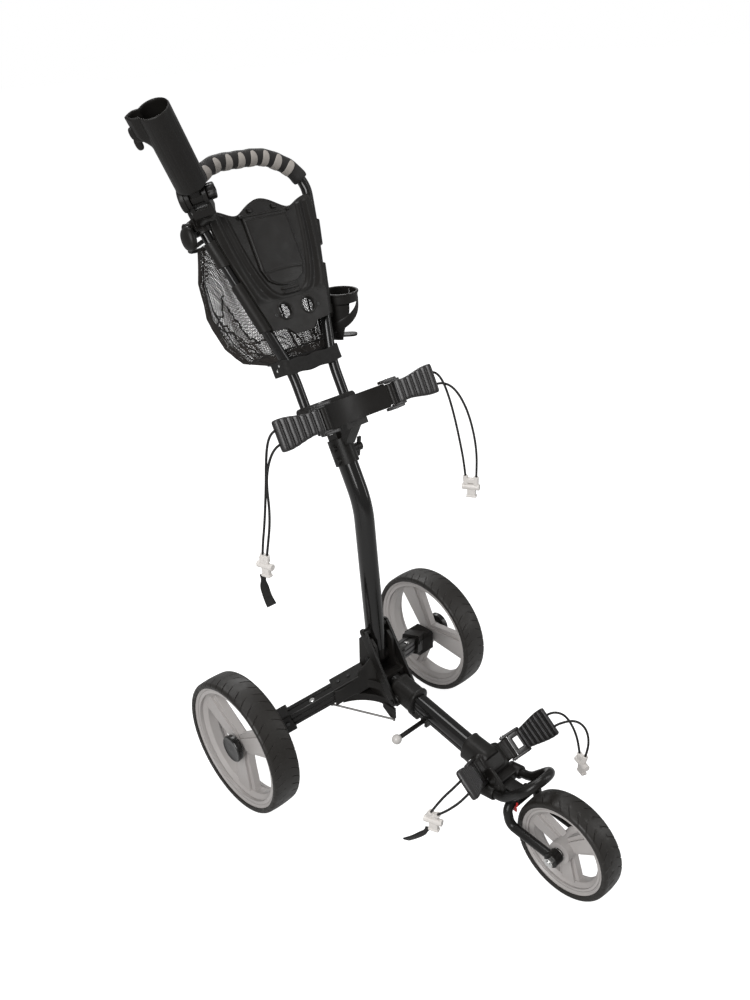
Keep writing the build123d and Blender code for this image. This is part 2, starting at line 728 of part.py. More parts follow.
def column_foot() -> Part:
    """Plug in the column's lower end with the pivot hub and the strut trunnions."""
    hub = bar((-CHEEK_IN + SLIDE, PIVOT_Y, PIVOT_Z), (CHEEK_IN - SLIDE, PIVOT_Y, PIVOT_Z), 16)
    shank = Ellipse(COLUMN_A - COLUMN_WALL - SEAT, COLUMN_B - COLUMN_WALL - SEAT)
    root = Plane(origin=(0, PIVOT_Y, PIVOT_Z), x_dir=(1, 0, 0), z_dir=COLUMN.y_dir)
    body = hub + extrude(root * shank, amount=STRUT_TOP + 16)
    side = Vector(STRUT_IN - SLIDE, 0, 0)
    body += bar(STRUT_HEAD - side, STRUT_HEAD + side, 7)
    pin = Vector(STRUT_IN + STRUT_T + 1, 0, 0)
    body += bar(STRUT_HEAD - pin, STRUT_HEAD + pin, STRUT_PIN_R)
    return body - bar((-60, PIVOT_Y, PIVOT_Z), (60, PIVOT_Y, PIVOT_Z), PIVOT_PIN_R + RUN)


def handle_oval(grow: float) -> Sketch:
    """The column's oval, grown, drawn across the upper column."""
    return Ellipse(COLUMN_A + grow, COLUMN_B + grow)


def across_column(section: Sketch, low: float, high: float) -> Part:
    """Section carried along the upper column between two stations."""
    base = HANDLE.from_local_coords(Vector(0, low, 0))
    return extrude(Plane(origin=base, x_dir=(1, 0, 0), z_dir=HANDLE.y_dir) * section, amount=high - low)


def collar() -> Part:
    """Clamp on the column's top with screw bosses, hinge lug and knob stud."""
    body = across_column(handle_oval(COLLAR_WALL), COLLAR_LOW, COLLAR_HIGH)
    lug = block((-LUG_HALF, LUG_HALF), (COLLAR_HIGH - 8, HINGE_T), (-LUG_R, LUG_R))
    lug += bar((-LUG_HALF, HINGE_T, 0), (LUG_HALF, HINGE_T, 0), LUG_R)
    edge = COLUMN_A + COLLAR_WALL
    for t in (COLLAR_LOW + 10, COLLAR_LOW + 34):
        lug += bar((-edge - 5, t, 6), (-edge + 6, t, 6), 6)
    lug += bar((edge - 6, COLLAR_LOW + 22, 6), (edge + 3, COLLAR_LOW + 22, 6), 8)
    lug += bar((edge, COLLAR_LOW + 22, 6), (edge + 16, COLLAR_LOW + 22, 6), 3)
    body += HANDLE.location * lug
    body -= across_column(handle_oval(SEAT), COLLAR_LOW - 1, COLLAR_HIGH - 4 + SEAT)
    return body - HANDLE.location * bar((-40, HINGE_T, 0), (40, HINGE_T, 0), HINGE_PIN_R + RUN)


def collar_knob() -> Part:
    """Two-finned wing knob that tightens the collar."""
    edge = COLUMN_A + COLLAR_WALL + 3
    t = COLLAR_LOW + 22
    hub = bar((edge + SLIDE, t, 6), (edge + 12, t, 6), 8)
    for turn in (35, -145):
        fin = Rot(turn, 0, 0) * block((4, 11), (4, 20), (-2, 2))
        hub += Pos(edge, t, 6) * fin
    hub -= bar((edge - 2, t, 6), (edge + 20, t, 6), 3 + RUN)
    return HANDLE.location * hub


def cradle_band() -> Part:
    """Curved band of the upper cradle with hinge barrels, bracket and cord plate."""
    x_end = UPPER_HINGE_X
    back = make_face(
        Curve()
        + ThreePointArc((-x_end, UPPER_HINGE_N - 4), (0, BAND_N - BAND_T), (x_end, UPPER_HINGE_N - 4))
        + Line((x_end, UPPER_HINGE_N - 4), (x_end, UPPER_HINGE_N + 4))
        + ThreePointArc((x_end, UPPER_HINGE_N + 4), (0, BAND_N), (-x_end, UPPER_HINGE_N + 4))
        + Line((-x_end, UPPER_HINGE_N + 4), (-x_end, UPPER_HINGE_N - 4))
    )
    turned = Plane(origin=(0, BAND_LOW, 0), x_dir=(1, 0, 0), z_dir=(0, -1, 0))
    body = extrude(turned * back, amount=-(BAND_HIGH - BAND_LOW))
    middle = (BAND_LOW + BAND_HIGH) / 2
    half = (BAND_HIGH - BAND_LOW) / 2 - 3
    for side in (-1, 1):
        x = side * x_end
        body += bar((x, middle - half, UPPER_HINGE_N), (x, middle + half, UPPER_HINGE_N), KNUCKLE_R)
        gap = block((x - 9, x + 9), (BAND_LOW - 1, middle - half), (UPPER_HINGE_N - 12, UPPER_HINGE_N + 12))
        body -= gap
        body -= Pos(0, 2 * half + (middle - half - BAND_LOW) + 1, 0) * gap
        body -= bar((x, BAND_LOW - 5, UPPER_HINGE_N), (x, BAND_HIGH + 5, UPPER_HINGE_N), ARM_PIN_R + RUN)
    front = COLUMN_B + COLLAR_WALL + SEAT
    web = plate([(front, COLLAR_LOW + 32), (BAND_N - 4, BAND_LOW - 6), (BAND_N - 4, BAND_HIGH - 8),
                 (BAND_N - BAND_T - 6, BAND_HIGH - 8), (front, COLLAR_HIGH)], -12, 12)
    body += Rot(0, -90, 0) * web
    body += block((-24, 24), (BAND_LOW - 11, BAND_LOW + 2), (BAND_N - 16, BAND_N - 4))
    body = HANDLE.location * body
    return body - across_column(handle_oval(COLLAR_WALL + SEAT), COLLAR_LOW, COLLAR_HIGH + 1)


# Bag arms, drawn flat with the hinge along local y, the tip toward +x and the ribs on +z


def bag_arm(length: float, hinge_half: float, window: bool) -> Part:
    """Ribbed arm with two hinge lugs and its pin, drawn flat."""
    root = KNUCKLE_R + 2.5
    start = root + (18 if window else 6)
    pitch = (length - 4 - start) / RIB_COUNT
    top = [(root, ARM_T / 2)]
    for i in range(RIB_COUNT):
        x = start + pitch * i
        top += [
            (x, ARM_T / 2),
            (x + 0.2 * pitch, ARM_T / 2 + RIB_RISE),
            (x + 0.6 * pitch, ARM_T / 2 + RIB_RISE),
            (x + 0.8 * pitch, ARM_T / 2),
        ]
    top += [(length, ARM_T / 2 + RIB_RISE), (length, -ARM_T / 2), (root, -ARM_T / 2)]
    profile = make_face(Polyline(*top, close=True))
    body = extrude(Plane.XZ.offset(-ARM_TIP_HALF) * profile, amount=2 * ARM_TIP_HALF)
    waist = 0.45 * length
    edge = Spline(
        (0, hinge_half + 5),
        (waist, ARM_WAIST_HALF),
        (length - 12, ARM_TIP_HALF - 1.5),
        (length + 1, ARM_TIP_HALF - 3),
    )
    shape = make_face(
        Curve()
        + edge
        + mirror(edge, about=Plane.XZ)
        + Line((0, hinge_half + 5), (0, -hinge_half - 5))
        + Line((length + 1, ARM_TIP_HALF - 3), (length + 1, -ARM_TIP_HALF + 3))
    )
    body = body & extrude(shape, amount=40, both=True)
    for side in (-1, 1):
        inner, outer = side * (hinge_half + SLIDE), side * (hinge_half + 5)
        lug = bar((0, inner, 0), (0, outer, 0), KNUCKLE_R - 1)
        lug += block((0, root + 4), tuple(sorted((inner, outer))), (-ARM_T / 2, ARM_T / 2))
        body += lug
    if window:
        body -= Pos(root + 10, 0, 0) * extrude(RectangleRounded(11, 22, 4), amount=20, both=True)
    body += bar((0, -hinge_half - 5, 0), (0, hinge_half + 5, 0), ARM_PIN_R)
    for v in (-CORD_HOLE_V, CORD_HOLE_V):
        body -= bar((length - CORD_HOLE_DEEP, v, 0), (length + 5, v, 0), CORD_R + 0.6)
    return body


def upper_arm() -> Part:
    """Upper arm on the +X side at its resting angle."""
    middle = (BAND_LOW + BAND_HIGH) / 2
    arm = bag_arm(UPPER_ARM, (BAND_HIGH - BAND_LOW) / 2 - 3, False)
    return HANDLE.location * (Pos(UPPER_HINGE_X, middle, UPPER_HINGE_N) * Rot(0, -UPPER_ARM_REST, 0) * arm)


def lower_arm() -> Part:
    """Lower arm on the +X side at its resting angle."""
    arm = bag_arm(LOWER_ARM, LOWER_BARREL, True)
    return CRADLE.location * (Pos(LOWER_HINGE_X, 0, 0) * Rot(0, -LOWER_ARM_REST, 0) * arm)


# Handle

TUBE_COURSE = [
    (TUBE_HALF, TUBE_FOOT_T),
    (TUBE_HALF, TUBE_SPREAD_T),
    (TUBE_FLARE_X, TUBE_FLARE_T),
    (TUBE_ELBOW_X, TUBE_ELBOW_T),
    (ARCH_SHOULDER_X, ARCH_SHOULDER_T),
    (ARCH_X, ARCH_T),
]
TUBE_BENDS = [200, 120, 48, 64, 96]


def handle_points(first: tuple) -> list:
    """The handle's course from a first point on one side over the arch to the other side."""
    half = [first] + [p for p in TUBE_COURSE if p[1] > first[1]]
    flat = half + [(-x, t) for x, t in reversed(half)]
    return [on_handle(x, t, 0) for x, t in flat]


def handle_bends(count: int) -> list:
    """Bend radii for the last bends of each half of the handle's course."""
    half = TUBE_BENDS[-count:]
    return half + half[::-1]


def tube_x(t: float) -> float:
    """How far the handle tube is from the middle at a station along the handle."""
    for (x0, t0), (x1, t1) in zip(TUBE_COURSE, TUBE_COURSE[1:]):
        if t <= t1:
            return x0 + (x1 - x0) * (t - t0) / (t1 - t0)
    return TUBE_COURSE[-1][0]


def handle_tube() -> Part:
    """One bent tube, from the yoke up both sides and over the top."""
    return pipe(handle_points(TUBE_COURSE[0]), handle_bends(5), TUBE_R, TUBE_R - TUBE_WALL)


def grip() -> Part:
    """Foam grip on the arch of the handle."""
    return pipe(handle_points((tube_x(GRIP_START), GRIP_START)), handle_bends(2), GRIP_R, TUBE_R + SEAT)


def handle_yoke() -> Part:
    """Casting that joins the handle tubes and turns on the collar's lug."""
    inner = LUG_HALF + SLIDE
    body = block((-YOKE_HALF, YOKE_HALF), (HINGE_T + LUG_R + YOKE_GAP, YOKE_HIGH), (-YOKE_N, YOKE_N))
    body = fillet(body.edges().filter_by(Axis.Z), 7)
    for side in (-1, 1):
        cheek = tuple(sorted((side * inner, side * (inner + 11))))
        body += block(cheek, (HINGE_T, YOKE_HIGH - 6), (-YOKE_N, YOKE_N))
        body += bar((cheek[0], HINGE_T, 0), (cheek[1], HINGE_T, 0), YOKE_N)
        body += bar((side * TUBE_HALF, HINGE_T + 12, 0), (side * TUBE_HALF, YOKE_HIGH, 0), YOKE_N - 0.5)
    body += bar((-inner - 5, HINGE_T, 0), (inner + 5, HINGE_T, 0), HINGE_PIN_R)
    for side in (-1, 1):
        x = side * TUBE_HALF
        body -= bar((x, TUBE_COURSE[0][1] - SEAT, 0), (x, YOKE_HIGH + 5, 0), TUBE_R + SEAT)
    return HANDLE.location * body


def tube_shell(low: float, high: float, outer: float, inner: float) -> Part:
    """Sleeve round the +X handle tube between two stations."""
    a = Vector(tube_x(low), low, 0)
    b = Vector(tube_x(high), high, 0)
    return ring(a, b, outer, inner)


def console() -> Part:
    """Scorecard console in front of the handle tubes, with side returns and two round holes."""
    crest = CONSOLE_CREST
    top = Spline(*[(-x, t) for x, t in reversed(crest)], (0, CONSOLE_TOP), *crest)
    sides = [crest[-1], *CONSOLE_SIDE]
    outline = Curve() + top + Polyline(*sides) + Polyline(*[(-x, t) for x, t in reversed(sides)])
    outline += Line(sides[-1], (-sides[-1][0], sides[-1][1]))
    body = extrude(Plane.XY.offset(CONSOLE_N) * make_face(outline), amount=CONSOLE_T)
    for side in (-1, 1):
        body -= bar((side * HOLE_X, HOLE_T, 0), (side * HOLE_X, HOLE_T, 40), HOLE_R)
    for low, high in CONSOLE_SHELLS:
        shell = tube_shell(low, high, TUBE_R + SHELL_WALL, TUBE_R + SLIDE)
        shell = shell & block((0, 200), (low, high), (-3, 30))
        body += shell + mirrored(shell)
    shelf = LID_HALF + 6
    body += block((-shelf, shelf), (LID_TOP - 3, LID_TOP + 3), (CONSOLE_N, CONSOLE_N + CONSOLE_T))
    for side in (-1, 1):
        x = side * (LID_HALF + 4)
        hinge = bar((x - 3, LID_TOP, LID_N), (x + 3, LID_TOP, LID_N), HINGE_BARREL_R)
        hinge += block((x - 3, x + 3), (LID_TOP - 3, LID_TOP + 3), (CONSOLE_N + 2, LID_N))
        body += hinge
    for side in (-1, 1):
        x = side * (LID_HALF + 4)
        body -= bar((x - 9, LID_TOP, LID_N), (x + 9, LID_TOP, LID_N), LID_PIN_R + RUN)
    for side in (-1, 1):
        path = [(side * tube_x(t), t, 0) for t in (TUBE_SPREAD_T + 34, TUBE_FLARE_T)]
        body -= bar(path[0], path[1], TUBE_R + SEAT)
    clamp = bar(CLAMP_AT - TUBE_RUN * (CLAMP_HALF + SLIDE), CLAMP_AT + TUBE_RUN * 60, TUBE_R + 7 + SLIDE)
    return HANDLE.location * (body - clamp)


LID_N = CONSOLE_N + CONSOLE_T + LID_GAP + 2.2


def scorecard_lid() -> Part:
    """U-shaped lid that turns up on pins at its top edge."""
    low = CONSOLE_N + CONSOLE_T + LID_GAP
    half = LID_HALF
    straight = LID_BOTTOM + 34
    face = make_face(
        Polyline(
            (-half + 8, straight - 20),
            (-half, straight),
            (-half, LID_TOP),
            (half, LID_TOP),
            (half, straight),
            (half - 8, straight - 20),
        )
        + ThreePointArc((half - 8, straight - 20), (0, LID_BOTTOM), (-half + 8, straight - 20))
    )
    body = extrude(Plane.XY.offset(low) * face, amount=LID_T)
    body += bar((-half, LID_TOP, LID_N), (half, LID_TOP, LID_N), 2.2)
    body += bar((-half - 6.5, LID_TOP, LID_N), (half + 6.5, LID_TOP, LID_N), LID_PIN_R)
    for t in (LID_BOTTOM + 14, LID_BOTTOM + 20):
        body += block((-14, 14), (t, t + 2.5), (low + 1, low + LID_T + 1.6))
    return HANDLE.location * body


NET_COURSE = [
    (TRAY_HIGH + 0.5, 60, -12, -50),
    (312, 84, -14, -112),
    (350, 99, -13, -140),
    (410, 107, -12, -150),
    (470, 108, -12, -134),
    (RIM_T - RIM_R - 0.5, 105, -12, -90),
]


def net_volume(shrink: float, lift: float) -> Part:
    """Space of the storage net, as sections across the handle."""
    sections = []
    for i, (t, half, near, far) in enumerate(NET_COURSE):
        depth = near - far - 2 * shrink
        width = 2 * (half - shrink)
        at = t + (lift if i == 0 else 0) + (1 if lift and i == len(NET_COURSE) - 1 else 0)
        base = Plane(origin=(0, at, (near + far) / 2), x_dir=(1, 0, 0), z_dir=(0, 1, 0))
        sections.append(base * RectangleRounded(width, depth, 0.42 * min(width, depth)))
    return loft(sections, ruled=True)


def net_bag() -> Part:
    """Storage net behind the console, open at the top."""
    return HANDLE.location * (net_volume(0, 0) - net_volume(NET_WALL, NET_WALL))


def net_rim() -> Part:
    """Wire rim round the mouth of the net."""
    x, near, far = 109.0, -TUBE_R - RIM_R - 0.4, -86.0
    corners = [(x, near), (x, far), (-x, far), (-x, near)]
    path = FilletPolyline(*[on_handle(a, RIM_T, n) for a, n in corners], radius=14, close=True)
    start = path @ 0
    return sweep(Plane(origin=start, z_dir=path % 0) * Circle(RIM_R), path=path)


def net_tray() -> Part:
    """Band round both tubes that carries the foot of the net."""
    half = tube_x(TRAY_HIGH) + TUBE_R + 2 * SLIDE
    outer = block((-half - 3.5, half + 3.5), (TRAY_LOW, TRAY_HIGH), (TRAY_REAR - 3.5, TUBE_R + SLIDE + 3.5))
    outer = fillet(outer.edges().filter_by(Axis.Y), 11)
    inner = block((-half, half), (TRAY_LOW - 1, TRAY_HIGH + 1), (TRAY_REAR, TUBE_R + SLIDE))
    inner = fillet(inner.edges().filter_by(Axis.Y), 7.5)
    return HANDLE.location * (outer - inner)


def cup_holder() -> Part:
    """Upright cup with a mug slot, on a strip along the +X handle tube."""
    foot = Vector(CUP_X, CUP_Y, CUP_Z)
    up = Vector(0, 0, 1)
    body = bar(foot, foot + up * CUP_H, CUP_R) - bar(foot + up * 3, foot + up * (CUP_H + 5), CUP_R - CUP_WALL)
    window = Pos(CUP_X + 18, CUP_Y - CUP_R, CUP_Z + 38) * (Rot(0, -24, 0) * Box(46, 40, 22))
    body -= window
    t_low, t_mid, t_high = 318, 350, 392
    strip_a = on_handle(tube_x(t_low) + 8, t_low, STRIP_N)
    strip_b = on_handle(tube_x(t_high) + 8, t_high, STRIP_N)
    along = strip_b - strip_a
    strip_plane = Plane(origin=strip_a, x_dir=(1, 0, 0), z_dir=along)
    strip = extrude(strip_plane * RectangleRounded(6, 7, 1.5), amount=along.length)
    arm_from = on_handle(tube_x(t_mid) + 8, t_mid, STRIP_N)
    body += bar(arm_from, Vector(CUP_X, CUP_Y, arm_from.Z), 3.4)
    body += strip
    body -= bar(foot + up * 3, foot + up * (CUP_H + 5), CUP_R - CUP_WALL)
    body -= bar(on_handle(tube_x(280), 280, 0), on_handle(tube_x(510), 510, 0), TUBE_R + SEAT)
    return body


# Umbrella holder

TILT_AXIS = (TILT_HINT - HOLDER_AXIS * TILT_HINT.dot(HOLDER_AXIS)).normalized()
CLAMP_AT = Vector(-tube_x(CLAMP_T), CLAMP_T, 0)
TUBE_RUN = Vector(TUBE_FLARE_X - TUBE_ELBOW_X, TUBE_ELBOW_T - TUBE_FLARE_T, 0).normalized()


def umbrella_clamp() -> Part:
    """Clamp on the -X handle tube with the swivel post."""
    body = bar(CLAMP_AT - TUBE_RUN * CLAMP_HALF, CLAMP_AT + TUBE_RUN * CLAMP_HALF, TUBE_R + CLAMP_WALL)
    body += block((CLAMP_AT.X - CLAMP_SIDE, CLAMP_AT.X - 4), (CLAMP_T - 11, CLAMP_T + 11), (-9, 14))
    body += block((SWIVEL_X - 9, SWIVEL_X + 11), (CLAMP_T - 2, SWIVEL_T + 9), (4, SWIVEL_SEAT_N))
    post_from = (SWIVEL_X, SWIVEL_T, SWIVEL_SEAT_N - 4)
    body += bar(post_from, (SWIVEL_X, SWIVEL_T, SWIVEL_SEAT_N + 18), SWIVEL_POST_R)
    root = CLAMP_AT.X - CLAMP_SIDE
    body += bar((root, CLAMP_T, SCREW_N), (root - 13, CLAMP_T, SCREW_N), SCREW_R)
    body -= bar(CLAMP_AT - TUBE_RUN * 60, CLAMP_AT + TUBE_RUN * 40, TUBE_R + SEAT)
    return HANDLE.location * body


def umbrella_paddle() -> Part:
    """Paddle nut on the clamp's screw."""
    x = CLAMP_AT.X - CLAMP_SIDE - SLIDE
    body = bar((x, CLAMP_T, SCREW_N), (x - 14, CLAMP_T, SCREW_N), 8)
    body += fillet(block((x - 12, x - 5), (CLAMP_T - 34, CLAMP_T), (-14, 18)).edges().filter_by(Axis.X), 10)
    body -= bar((x + 5, CLAMP_T, SCREW_N), (x - 30, CLAMP_T, SCREW_N), SCREW_R + RUN)
    return HANDLE.location * body


def umbrella_block() -> Part:
    """Swivel block on the post, with the fork for the holder's tilt."""
    body = HANDLE.location * (
        bar((SWIVEL_X, SWIVEL_T, SWIVEL_SEAT_N + SLIDE), (SWIVEL_X, SWIVEL_T, SWIVEL_SEAT_N + 24), 15)
    )
    ear_in, ear_out = TILT_EAR_IN + SLIDE, TILT_EAR_OUT
    foot = HOLDER_FOOT - HOLDER_AXIS * 30
    neck = on_handle(SWIVEL_X, SWIVEL_T, SWIVEL_SEAT_N + 18)
    body += bar(neck, foot, 12)
    for side in (-1, 1):
        a = HOLDER_FOOT + TILT_AXIS * (side * ear_in)
        b = HOLDER_FOOT + TILT_AXIS * (side * ear_out)
        body += bar(a, b, TILT_EAR_R)
        middle = (a + b) * 0.5 - HOLDER_AXIS * 15
        cheek = Plane(origin=middle, x_dir=TILT_AXIS, z_dir=HOLDER_AXIS)
        body += cheek.location * Box(ear_out - ear_in, 26, 30)
    bridge = Plane(origin=HOLDER_FOOT - HOLDER_AXIS * 26, x_dir=TILT_AXIS, z_dir=HOLDER_AXIS)
    body += bridge.location * Box(2 * ear_out, 26, 14)
    body -= bar(HOLDER_FOOT - TILT_AXIS * ear_in, HOLDER_FOOT + TILT_AXIS * ear_in, 20)
    body += bar(HOLDER_FOOT - TILT_AXIS * (ear_in + 3), HOLDER_FOOT + TILT_AXIS * (ear_in + 3), TILT_PIN_R)
    post_room = bar((SWIVEL_X, SWIVEL_T, 10), (SWIVEL_X, SWIVEL_T, 60), SWIVEL_POST_R + RUN)
    return body - HANDLE.location * post_room


def umbrella_tilt_knob() -> Part:
    """Four-lobed knob on the end of the tilt pin."""
    start = HOLDER_FOOT + TILT_AXIS * (TILT_EAR_OUT + SEAT)
    face = Plane(origin=start, x_dir=HOLDER_AXIS, z_dir=TILT_AXIS)
    shape = Circle(10)
    for i in range(4):
        shape += Rot(0, 0, 45 + 90 * i) * (Pos(9, 0) * Circle(5))
    return extrude(face * shape, amount=13)


def umbrella_tube() -> Part:
    """Holder tube with its foot lug and a notch at the mouth."""
    axis, foot = HOLDER_AXIS, HOLDER_FOOT
    floor = foot + axis * (HOLDER_START + HOLDER_FLOOR)
    mouth = foot + axis * (10 + HOLDER_LENGTH)
    bore = bar(floor, mouth + axis * 5, HOLDER_R - HOLDER_WALL)
    body = bar(foot + axis * HOLDER_START, mouth, HOLDER_R) - bore
    side = TILT_AXIS * -1
    notch = Plane(origin=mouth + axis * 2, x_dir=axis, z_dir=side)
    wedge = make_face(Polyline((6, -12), (6, 12), (-16, 0), close=True))
    body -= extrude(notch * wedge, amount=HOLDER_R + 10)
    boss = mouth - axis * GRIP_SCREW_DROP
    jaw = Plane(origin=mouth - axis * 11 + side * (HOLDER_R + 3), x_dir=side, z_dir=axis)
    body += jaw.location * Box(18, 24, 22) - bore
    body += bar(boss + side * (HOLDER_R - 2), boss + side * (HOLDER_R + 7), 8)
    lug = bar(foot - TILT_AXIS * TILT_EAR_IN, foot + TILT_AXIS * TILT_EAR_IN, 13)
    neck = Plane(origin=foot + axis * 12, x_dir=TILT_AXIS, z_dir=axis)
    body += lug + neck.location * Box(2 * TILT_EAR_IN, 26, 24)
    body -= bar(foot - TILT_AXIS * 20, foot + TILT_AXIS * 20, TILT_PIN_R + RUN)
    return body - bar(boss, boss + side * (HOLDER_R + 12), SCREW_R + RUN)


def umbrella_screw() -> Part:
    """Wing screw that grips the umbrella's shaft."""
    side = TILT_AXIS * -1
    boss = HOLDER_FOOT + HOLDER_AXIS * (10 + HOLDER_LENGTH - GRIP_SCREW_DROP)
    head = boss + side * (HOLDER_R + 7 + SLIDE)
    body = bar(boss + side * (HOLDER_R - HOLDER_WALL), head + side * 2, SCREW_R)
    body += bar(head, head + side * 9, 7.5)
    wing = Plane(origin=head + side * 7, x_dir=HOLDER_AXIS, z_dir=side)
    return body + extrude(wing * RectangleRounded(30, 7, 3), amount=8)


# Elastic cords: two strands from the holes in an arm's tip down to a toggle, and a pull tab on some

CORDS = {
    "upper_left": (
        [(-168.9, 124.5, 796.7), (-181.9, 124.1, 796.9), (-192.5, 125.2, 788.5), (-197, 129, 770),
         (-196, 138, 738), (-194, 147, 702), (-194, 156, 660), (-196, 164, 615), (-199, 172, 575),
         (-200, 176, 548)],
        [(-168.9, 114.3, 775), (-181.9, 113.9, 775.2), (-192.8, 117, 767), (-198, 124.5, 749),
         (-199, 135, 720), (-197, 142, 690), (-194, 146, 656), (-193, 152, 620), (-195, 160, 583),
         (-198, 167, 548)],
        [(-201, 178, 513), (-201, 180, 492), (-200, 176, 471), (-198, 168, 452)],
    ),
    "upper_right": (
        [(168.9, 124.5, 796.7), (181.9, 124.1, 796.9), (192, 117.4, 790), (197.5, 108, 771.5),
         (200, 96, 740), (203, 86, 700), (205.5, 77, 656), (208, 71, 618), (209, 68, 585)],
        [(168.9, 114.3, 775), (181.9, 113.9, 775.2), (193.4, 106, 775.6), (203.5, 94.5, 768.5),
         (210.5, 81, 751), (216, 67, 721), (219, 56, 682), (220, 50, 644), (219, 49, 611), (218, 50, 584)],
        [],
    ),
    "lower_left": (
        [(-106, -205.5, 225.2), (-116.3, -210.8, 231.1), (-129.2, -212.1, 230.6), (-140.4, -208.8, 223.6),
         (-146.7, -199.8, 209.2), (-150.5, -188, 188), (-151, -177, 168), (-149, -166, 149)],
        [(-106, -223.3, 209.1), (-116.3, -228.7, 215.1), (-129.2, -230, 214.6), (-140, -226.2, 207.4),
         (-144.9, -215.9, 193.9), (-147, -203, 178), (-147, -190, 163.5), (-145, -177, 149)],
        [(-150, -163, 114.5), (-154, -152, 97), (-160, -138, 82), (-167, -122, 69)],
    ),
    "lower_right": (
        [(106, -205.5, 225.2), (116.3, -210.8, 231.1), (126.5, -221, 235.5), (136, -234, 230.5),
         (141, -246, 214), (144, -256, 192), (145, -262, 168), (145, -266, 145)],
        [(106, -223.3, 209.1), (116.3, -228.7, 215.1), (125.5, -239.5, 223), (134, -253.5, 230),
         (139, -268, 229), (142, -279, 217), (143, -284, 196), (142, -283, 172), (140, -278.5, 150)],
        [],
    ),
}


def bend_radii(points: list) -> list:
    """Largest even arc at each corner of a route: 0.45 of the shorter run over tan of half the turn."""
    radii = []
    for a, b, c in zip(points, points[1:], points[2:]):
        before, after = Vector(b) - Vector(a), Vector(c) - Vector(b)
        half_turn = math.radians(before.get_angle(after)) / 2
        radii.append(0.45 * min(before.length, after.length) / math.tan(half_turn))
    return radii


def strand(name: str, points: list, radius: float) -> Part:
    """One strand of cord as a round tube along its route."""
    radii = bend_radii(points)
    tube = pipe(points, radii, radius)
    length = FilletPolyline(*points, radius=radii).length
    print(name, "radii", [round(r, 1) for r in radii], "length", round(length, 1),
          "volume ratio", round(tube.volume / (math.pi * radius**2 * length), 4))
    return tube


def toggle(end_a: Vector, end_b: Vector) -> Part:
    """Waisted block in which the two strands end."""
    wide = Vector(end_b.X - end_a.X, end_b.Y - end_a.Y, 0)
    middle = (end_a + end_b) * 0.5
    top = Vector(middle.X, middle.Y, max(end_a.Z, end_b.Z) + TOGGLE_GRIP)
    body = block((-TOGGLE_W / 2, TOGGLE_W / 2), (-TOGGLE_D / 2, TOGGLE_D / 2), (-TOGGLE_H, 0))
    body = fillet(body.edges().filter_by(Axis.Z), 4)
    for side in (-1, 1):
        x, z = side * TOGGLE_W / 2, -TOGGLE_H / 2
        body -= bar((x, -TOGGLE_D, z), (x, TOGGLE_D, z), 5)
    return Plane(origin=top, x_dir=wide, z_dir=(0, 0, 1)).location * body


def pull_tab(points: list) -> Part:
    """Flat strap below a toggle."""
    path = FilletPolyline(*points, radius=bend_radii(points))
    start = Plane(origin=points[0], x_dir=(0.73, -0.68, 0), z_dir=Vector(points[1]) - Vector(points[0]))
    return sweep(start * Rectangle(TAB_W, TAB_T), path=path)


def cord(side: str) -> list:
    """Solids of one cord: two strands, the toggle and any pull tab."""
    first, second, tab = CORDS[side]
    tubes = [strand(side, points, CORD_R) for points in (first, second)]
    body = toggle(Vector(first[-1]), Vector(second[-1]))
    for points in (first, second):
        body -= pipe(points, bend_radii(points), CORD_R + SLIDE)
    solids = tubes + [body]
    if tab:
        solids.append(pull_tab(tab) - body)
    return solids


def write(name: str, shape) -> None:
    """Writes one node."""
    export_step(shape, f"parts/{name}.step")


def main() -> None:
    """Builds every node and writes it."""
    for side, sign in (("left", -1), ("right", 1)):
        at = (sign * HALF_TRACK, REAR_AXLE_Y, REAR.tyre_r)
        write(f"rear_tyre_{side}", place_wheel(tyre(REAR), *at))
        wheel = rim(REAR, SPOKE_PHASE[side])
        write(f"rear_rim_{side}", place_wheel(wheel if sign > 0 else mirrored(wheel), *at))
        write(f"rear_bearings_{side}", group([place_wheel(b, *at) for b in bearings(REAR)]))
        cap = hub_cap(REAR)
        write(f"rear_hub_cap_{side}", place_wheel(cap if sign > 0 else mirrored(cap), *at))
    at = (0, FRONT_AXLE_Y, FRONT.tyre_r)
    write("front_tyre", place_wheel(tyre(FRONT), *at))
    write("front_rim", place_wheel(rim(FRONT, SPOKE_PHASE["front"]), *at))
    write("front_bearings", group([place_wheel(b, *at) for b in bearings(FRONT)]))
    write("axles", group(axles()))

    pairs = {
        "housing": housing_half(),
        "rear_leg": rear_leg(),
        "wheel_bracket": wheel_bracket(),
        "fold_strut": fold_strut(),
        "upper_arm": upper_arm(),
        "lower_arm": lower_arm(),
    }
    for name, part in pairs.items():
        write(f"{name}_right", part)
        write(f"{name}_left", mirrored(part))

    groups = {"frame_screws": frame_screws(), "leg_pins": leg_pins(), "stay_rods": stay_rods()}
    for side in CORDS:
        groups[f"cord_{side}"] = cord(side)
    for name, solids in groups.items():
        write(name, group(solids))

    singles = [
        front_beam, front_bracket, bag_rest_loop, front_fork, fork_tab, slide_sleeve, lock_lever, lock_knob,
        column_tube, column_foot, collar, collar_knob, cradle_band, handle_tube, grip, handle_yoke, console,
        scorecard_lid, net_bag, net_rim, net_tray, cup_holder, umbrella_clamp, umbrella_paddle,
        umbrella_block, umbrella_tilt_knob, umbrella_tube, umbrella_screw,
    ]
    for make in singles:
        write(make.__name__, make())


main()
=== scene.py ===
"""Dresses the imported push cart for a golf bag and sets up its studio.

Metres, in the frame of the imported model: +Z up, the front wheel toward -Y, X across the cart.
"""

import json
import logging
import math
from dataclasses import dataclass
from enum import Enum

import bmesh
import bpy
import numpy as np
from mathutils import Matrix


